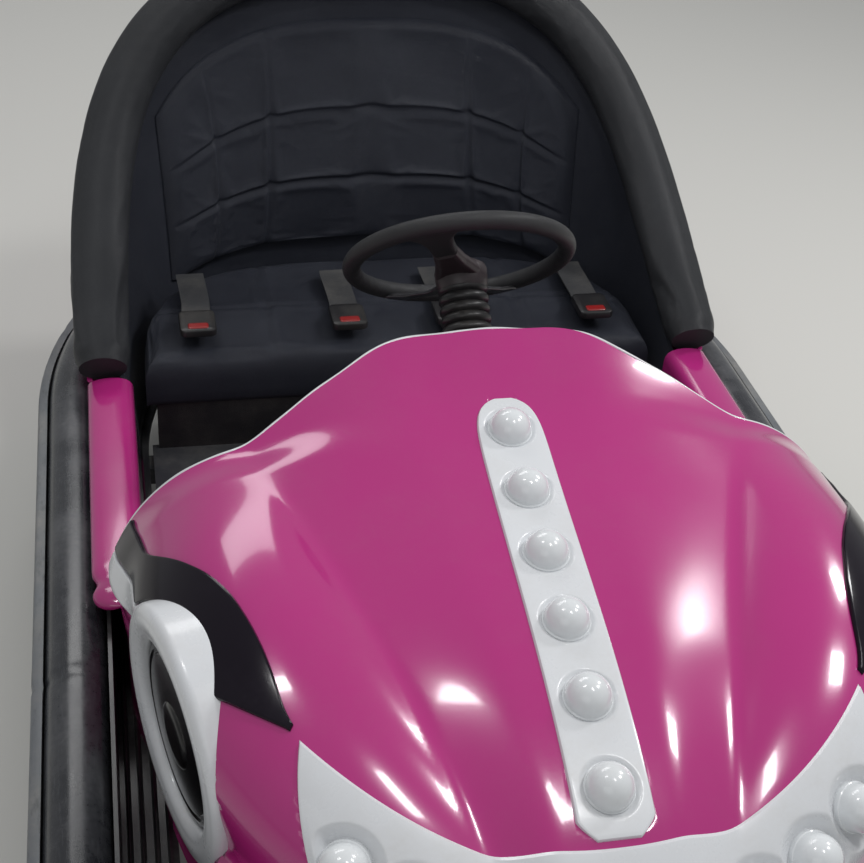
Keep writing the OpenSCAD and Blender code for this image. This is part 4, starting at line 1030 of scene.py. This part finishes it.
def cushionParts():  # crowned closed form on the tub's plan, rounded at its edges, with sewn channels
    edge = tubFoot(np.linspace(-1, 1, cushion["pointsAcross"]), cushion["inset"])
    frontY = tub["front"] + cushion["front"]
    edge[:, 1] = np.maximum(edge[:, 1], frontY + 1)
    u = np.linspace(0, 1, cushion["pointsDeep"])[None, :]
    x = edge[:, :1] + 0 * u
    y = frontY * (1 - u) + edge[:, 1:] * u
    fromSide = tub["half"] - cushion["inset"] - np.abs(x)
    toEdge = np.minimum(np.minimum(u, 1 - u) * (edge[:, 1:] - frontY), fromSide)
    crown = cushion["crown"] * np.cos(x / 420 * np.pi / 2) * np.sin(np.pi * clamp01((y - 320) / 330))
    fromSeams = np.min([np.abs(x - place) for place in cushion["seams"]], axis=0)
    fromCross = np.abs(y - cushion["crossSeam"])
    seams = cushion["seam"] * np.exp(-(fromSeams / cushion["seamWide"]) ** 2)
    seams = seams + cushion["crossDeep"] * np.exp(-(fromCross / cushion["seamWide"]) ** 2)
    top = cushion["side"] + cushion["top"] * roundedEdge(toEdge, cushion["rounding"])
    top = top + (crown - seams) * smooth01(toEdge / 30)
    low = np.full_like(top, cushion["low"])
    sewn = ((fromSeams < 4) | (fromCross < 4) | (toEdge < 8)) * 1.0
    held = np.stack([sewn, np.ones_like(sewn)])
    return puffPad(slabParts(np.stack([x, y, top], -1), np.stack([x, y, low], -1)), held, cushion["puff"])


seatCushion = makePiece("seatCushion", cushionParts(), "chassis", seatVinyl, ["seat_cushion"],
                        sharpAngle=70, weld=0.05)

belt = {"places": (-325.0, -85.0, 85.0, 325.0), "half": 22.5, "thick": 2.4, "from": 402.0, "to": 556.0,
        "z": 344.5, "buckleY": 390.0, "buckle": (28.5, 33.5, 11.0), "buttonY": 371.0,
        "button": (16.0, 8.0, 4.0)}


def beltParts(x):  # webbing that lies on the cushion with a slack wave, as a thin closed slab
    y = np.linspace(belt["from"], belt["to"], 70)[:, None]
    u = np.linspace(-1, 1, 9)[None]
    z = belt["z"] + 2.6 * np.sin((y - 400) / 23 + x) * smooth01((y - 405) / 40) + 0.5 * u * np.sin(y / 31 + x)
    across = x + belt["half"] * u + 2.2 * np.sin(y / 37 + x) * smooth01((y - 420) / 60)
    web = np.stack([across, y + 0 * u, z], -1)
    return slabParts(web, web - [0, 0, belt["thick"]])


def plateParts(x, y, size, levels):  # rounded plate: (inset, height) levels of one outline
    halfX, halfY, corner = size
    a = np.linspace(0, 2 * np.pi, 48, endpoint=False)
    loops = []
    for inset, z in levels:
        r = max(corner - inset, 0.5)
        px = np.sign(np.cos(a)) * (halfX - corner) + r * np.cos(a)
        py = np.sign(np.sin(a)) * (halfY - corner) + r * np.sin(a)
        loops.append(np.stack([x + px, y + py, np.full_like(a, z)], -1))
    return sweepParts(np.stack(loops))


def buckleParts(x):  # buckle with a crowned top
    z = belt["z"] - 1.5
    levels = [(1.5, z), (0, z + 1.5), (0, z + 8.5), (1.2, z + 11), (4, z + 12.3), (9, z + 12.6)]
    return plateParts(x, belt["buckleY"], belt["buckle"], levels)


def buttonParts(x):  # push button at the buckle's front edge
    z = belt["z"] + 9.0
    levels = [(0, z), (0, z + 2.6), (0.8, z + 3.4), (2.5, z + 3.7)]
    return plateParts(x, belt["buttonY"], belt["button"], levels)


def atBelts(makeParts):  # one of them at each belt
    return joinParts([makeParts(x) for x in belt["places"]])


makePiece("beltStraps", atBelts(beltParts), "chassis", beltWeb, ["belt_straps"])
makePiece("beltBuckles", atBelts(buckleParts), "chassis", buckleBlack, ["belt_buckles"])
makePiece("buckleButtons", atBelts(buttonParts), "chassis", buckleRed)
print("stage: seat and hoop")


# Sills

sill = {"rear": 299.0, "knob": -184.0, "knobLong": 34.0, "waist": -168.0, "waistDeep": 0.2, "waistLong": 13.0,
        "middle": (464.0, 303.0), "footTop": 200.0}


def sillParts():  # moulded sill: a soft rounded section along the side, with a waist and a knob at its front
    knob = np.radians(np.linspace(6, 90, 16))
    y = np.concatenate([np.linspace(sill["rear"], sill["knob"], 60),
                        sill["knob"] - sill["knobLong"] * np.sin(knob)])
    closing = np.concatenate([np.ones(60), np.cos(np.radians(np.linspace(6, 85, 16)))])
    shrink = closing * (1 - sill["waistDeep"] * np.exp(-((y - sill["waist"]) / sill["waistLong"]) ** 2))
    section = np.array([(430, 161), (438, 161), (438, 292), (442, 298), (449, 301), (464, 302), (478, 299.5),
                        (487, 295.5), (490, 292.5), (494, 291.5), (497.5, 292.5), (499, 296), (498.4, 301),
                        (495.5, 306), (490, 309.5), (482, 312), (472, 313.6), (461, 314), (450, 313),
                        (441, 310.2), (435, 306), (431.4, 300), (430, 292)], float)
    middle = np.array(sill["middle"])
    secs = middle + (section - middle) * shrink[:, None, None]
    secs = np.where(section[:, 1:] < sill["footTop"], section, secs)
    loops = np.stack([secs[..., 0], np.broadcast_to(y[:, None], secs.shape[:2]), secs[..., 1]], -1)
    return mirrorParts(sweepParts(loops))


makePiece("sideSills", sillParts(), "chassis", gelPink, ["side_sills"], sharpAngle=50)


# Steering

column = {"y": 35.0, "z": 641.0, "lean": 47.6, "wheelR": 143.0, "grip": 12.0, "fingers": 36,
          "fingerDeep": 0.025, "bootLow": -128.0, "bootHigh": -44.0, "bootBore": 18.3, "bootR": 29.5,
          "fold": 4.6, "foldLong": 14.0}
spokes = {"broad": 244.0, "left": 118.0, "right": 52.0}


def columnPlace(points):  # from the wheel's own frame to its place on the leaning column
    return turned(points, "X", -column["lean"]) + [0, column["y"], column["z"]]


def gripParts():  # rim with shallow finger waves on the inside
    a = np.linspace(0, 2 * np.pi, 240, endpoint=False)[:, None]
    b = np.linspace(0, 2 * np.pi, 28, endpoint=False)[None]
    r = column["grip"] * (1 + column["fingerDeep"] * np.cos(a * column["fingers"]) * clamp01(-np.cos(b)))
    rho = column["wheelR"] + r * np.cos(b)
    return sweepParts(columnPlace(np.stack([rho * np.cos(a), rho * np.sin(a), r * np.sin(b) + 0 * a], -1)),
                      closedPath=True)


makePiece("wheelGrip", gripParts(), "steering_wheel", gripBlack, ["wheel_rim"])


def strapParts(direction, reach, edges, height, thick, rounding):  # plate along a spoke between two edges
    r = np.linspace(reach[0], reach[1], 48)[:, None]
    k = np.linspace(0, 1, 25)[None]
    first, second = edges
    low, high = np.interp(r, *first), np.interp(r, *second)
    across = low + (high - low) * k
    toEdge = np.minimum(k, 1 - k) * (high - low)
    half = thick / 2 * (0.2 + 0.8 * roundedEdge(toEdge, rounding))
    c, s = math.cos(math.radians(direction)), math.sin(math.radians(direction))
    plan = [r * c - across * s, r * s + across * c]
    z = np.interp(r, *height) + 0 * k
    verts, faces = slabParts(np.stack(plan + [z + half], -1), np.stack(plan + [z - half], -1))
    return columnPlace(verts), faces


def broadSpokeParts():  # padded spoke that widens into the rim
    wide = ([50, 70, 96, 116, 128, 140], [17, 16, 17.5, 22, 31, 44])
    narrow = (wide[0], [-w for w in wide[1]])
    return strapParts(spokes["broad"], (52, 139), (narrow, wide), ([52, 90, 139], [-17, -9, -2]), 16, 7)


def hubParts():  # shroud from the spoke's foot down to the bellows, with a round cap on the driver's side
    profile = [(0, -2), (18, -2.5), (22, -5), (27, -8), (33, -12), (35, -18), (34.5, -30), (33, -40),
               (31.5, -43.5), (19, -43.8), (19, -37), (0, -36.8)]
    verts, faces = latheParts(profile, 96, closedProfile=False)
    wide = ([0, 20, 50, 78], [33, 30, 21, 16.5])
    flap = strapParts(spokes["broad"], (4, 78), ((wide[0], [-w for w in wide[1]]), wide),
                      ([4, 30, 78], [-26, -21, -13]), 20, 9)
    return joinParts([(columnPlace(verts), faces), flap])


def steelSpokeParts():  # two cranked straps from the hub to under the rim
    parts = []
    r = [24, 60, 100, 120, 146]
    height = ([24, 70, 112, 130, 146], [-28, -25, -17, -12, -9])
    for direction, bend in ((spokes["left"], 9.0), (spokes["right"], -5.0)):
        low, high = [-12, -9 - bend * 0.6, -9, -12, -20], [14, 9 - bend * 0.6, 8, 12, 21]
        parts.append(strapParts(direction, (24, 144), ((r, low), (r, high)), height, 5, 2))
    return joinParts(parts)


makePiece("broadSpoke", broadSpokeParts(), "steering_wheel", gripBlack)
makePiece("wheelHub", hubParts(), "steering_wheel", hubPlastic)
makePiece("steelSpokes", steelSpokeParts(), "steering_wheel", spokeSteel, ["wheel_spokes"])


def bootParts():  # bellows between the wheel and the cowl
    low, high, bore = column["bootLow"], column["bootHigh"], column["bootBore"]
    z = np.linspace(low, high, 121)
    up = z - low
    r = column["bootR"] + column["fold"] * np.abs(np.cos(up / column["foldLong"] * np.pi)) ** 0.8 - up * 0.01
    profile = np.concatenate([[(bore, high), (bore, low)], np.stack([r, z], -1)])
    verts, faces = latheParts(profile, 72)
    return columnPlace(verts), faces


makePiece("columnBoot", bootParts(), "chassis", bootRubber, ["column_boot"])
print("stage: steering")

# CAD nodes that keep their shape: they only get a material

nodeMaterials = {
    "chassis_rails": framePaint, "cross_members": framePaint, "floor_pan": floorSheet,
    "dash_panel": dashBlack, "seat_box": dashBlack, "column_jacket": framePaint, "pedal": framePaint,
    "battery": batteryCase, "battery_tray": framePaint, "rear_axle": bareSteel, "turret": castPaint,
    "steering_gear": castPaint, "steering_shaft": bareSteel, "drive_fork": castPaint,
    "drive_motor": motorPaint, "drive_hub": hubAlloy, "drive_tyre": wheelTread, "rear_hub_left": hubAlloy,
    "rear_tyre_left": wheelTread, "rear_hub_right": hubAlloy, "rear_tyre_right": wheelTread}
for nodeName, material in nodeMaterials.items():
    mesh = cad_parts[nodeName].data
    mesh.materials.clear()
    mesh.materials.append(material)
print("stage: carried-over nodes", len(nodeMaterials))

# Camera, floor and light

view = {"lens": 62.5, "sensor": 36.0, "place": (-0.4385, -1.672, 1.5768), "turn": 0.2412,
        "pitch": 0.6037, "roll": -0.0779}


def placeCamera():  # axes of the picture: forward, right and down, turned by the roll
    c, s = math.cos(view["turn"]), math.sin(view["turn"])
    cp, sp = math.cos(view["pitch"]), math.sin(view["pitch"])
    forward, right, down = Vector((s * cp, c * cp, -sp)), Vector((c, -s, 0)), Vector((-sp * s, -sp * c, -cp))
    cr, sr = math.cos(view["roll"]), math.sin(view["roll"])
    right, down = cr * right + sr * down, cr * down - sr * right
    data = bpy.data.cameras.new("photoCamera")
    data.lens = view["lens"]
    data.sensor_width = view["sensor"]
    data.sensor_fit = "HORIZONTAL"
    obj = bpy.data.objects.new("photoCamera", data)
    obj.matrix_world = Matrix(((right.x, -down.x, -forward.x, view["place"][0]),
                               (right.y, -down.y, -forward.y, view["place"][1]),
                               (right.z, -down.z, -forward.z, view["place"][2]), (0, 0, 0, 1)))
    scene.collection.objects.link(obj)
    scene.camera = obj


placeCamera()

lights = {
    "world": 0.36, "worldColour": "f3f5f8", "floorColour": "d4d3ce", "floorRoughness": 0.75, "floorHalf": 9.0,
    "aim": (0, 0, 0.3),
    "panels": (("hallOne", (2.4, 0.7, 2.7), (0.42, 0.42), 26.0),
               ("hallTwo", (1.9, -0.5, 3.0), (0.42, 0.42), 22.0),
               ("hallThree", (0.5, -1.2, 3.0), (0.2, 0.5), 9.0),
               ("hallFour", (-0.9, -0.2, 3.1), (0.2, 0.5), 9.0),
               ("hallFive", (-0.6, 2.8, 3.2), (2.4, 1.0), 26.0),
               ("frontFill", (-1.6, -3.2, 2.2), (2.6, 1.8), 10.0))}


def addFloor():  # studio floor
    mesh = bpy.data.meshes.new("studioFloor")
    s = lights["floorHalf"]
    mesh.from_pydata([(-s, -s, 0), (s, -s, 0), (s, s, 0), (-s, s, 0)], [], [(0, 1, 2, 3)])
    floor = bpy.data.objects.new("studioFloor", mesh)
    scene.collection.objects.link(floor)
    material = bpy.data.materials.new("studioFloor")
    material.use_nodes = True
    shader = material.node_tree.nodes["Principled BSDF"]
    shader.inputs["Base Color"].default_value = srgb(lights["floorColour"])
    shader.inputs["Roughness"].default_value = lights["floorRoughness"]
    mesh.materials.append(material)


def addLights():  # even world light and the panels, all aimed at the car
    world = bpy.data.worlds.new("studioWorld")
    scene.world = world
    world.use_nodes = True
    back = world.node_tree.nodes["Background"]
    back.inputs["Color"].default_value = srgb(lights["worldColour"])
    back.inputs["Strength"].default_value = lights["world"]
    for name, place, size, power in lights["panels"]:
        data = bpy.data.lights.new(name, "AREA")
        data.shape = "RECTANGLE"
        data.size, data.size_y = size
        data.energy = power
        obj = bpy.data.objects.new(name, data)
        obj.location = place
        obj.rotation_euler = (Vector(lights["aim"]) - Vector(place)).to_track_quat("-Z", "Y").to_euler()
        scene.collection.objects.link(obj)


addFloor()
addLights()
scene.view_settings.view_transform = "Standard"
print("stage: camera, floor and light")
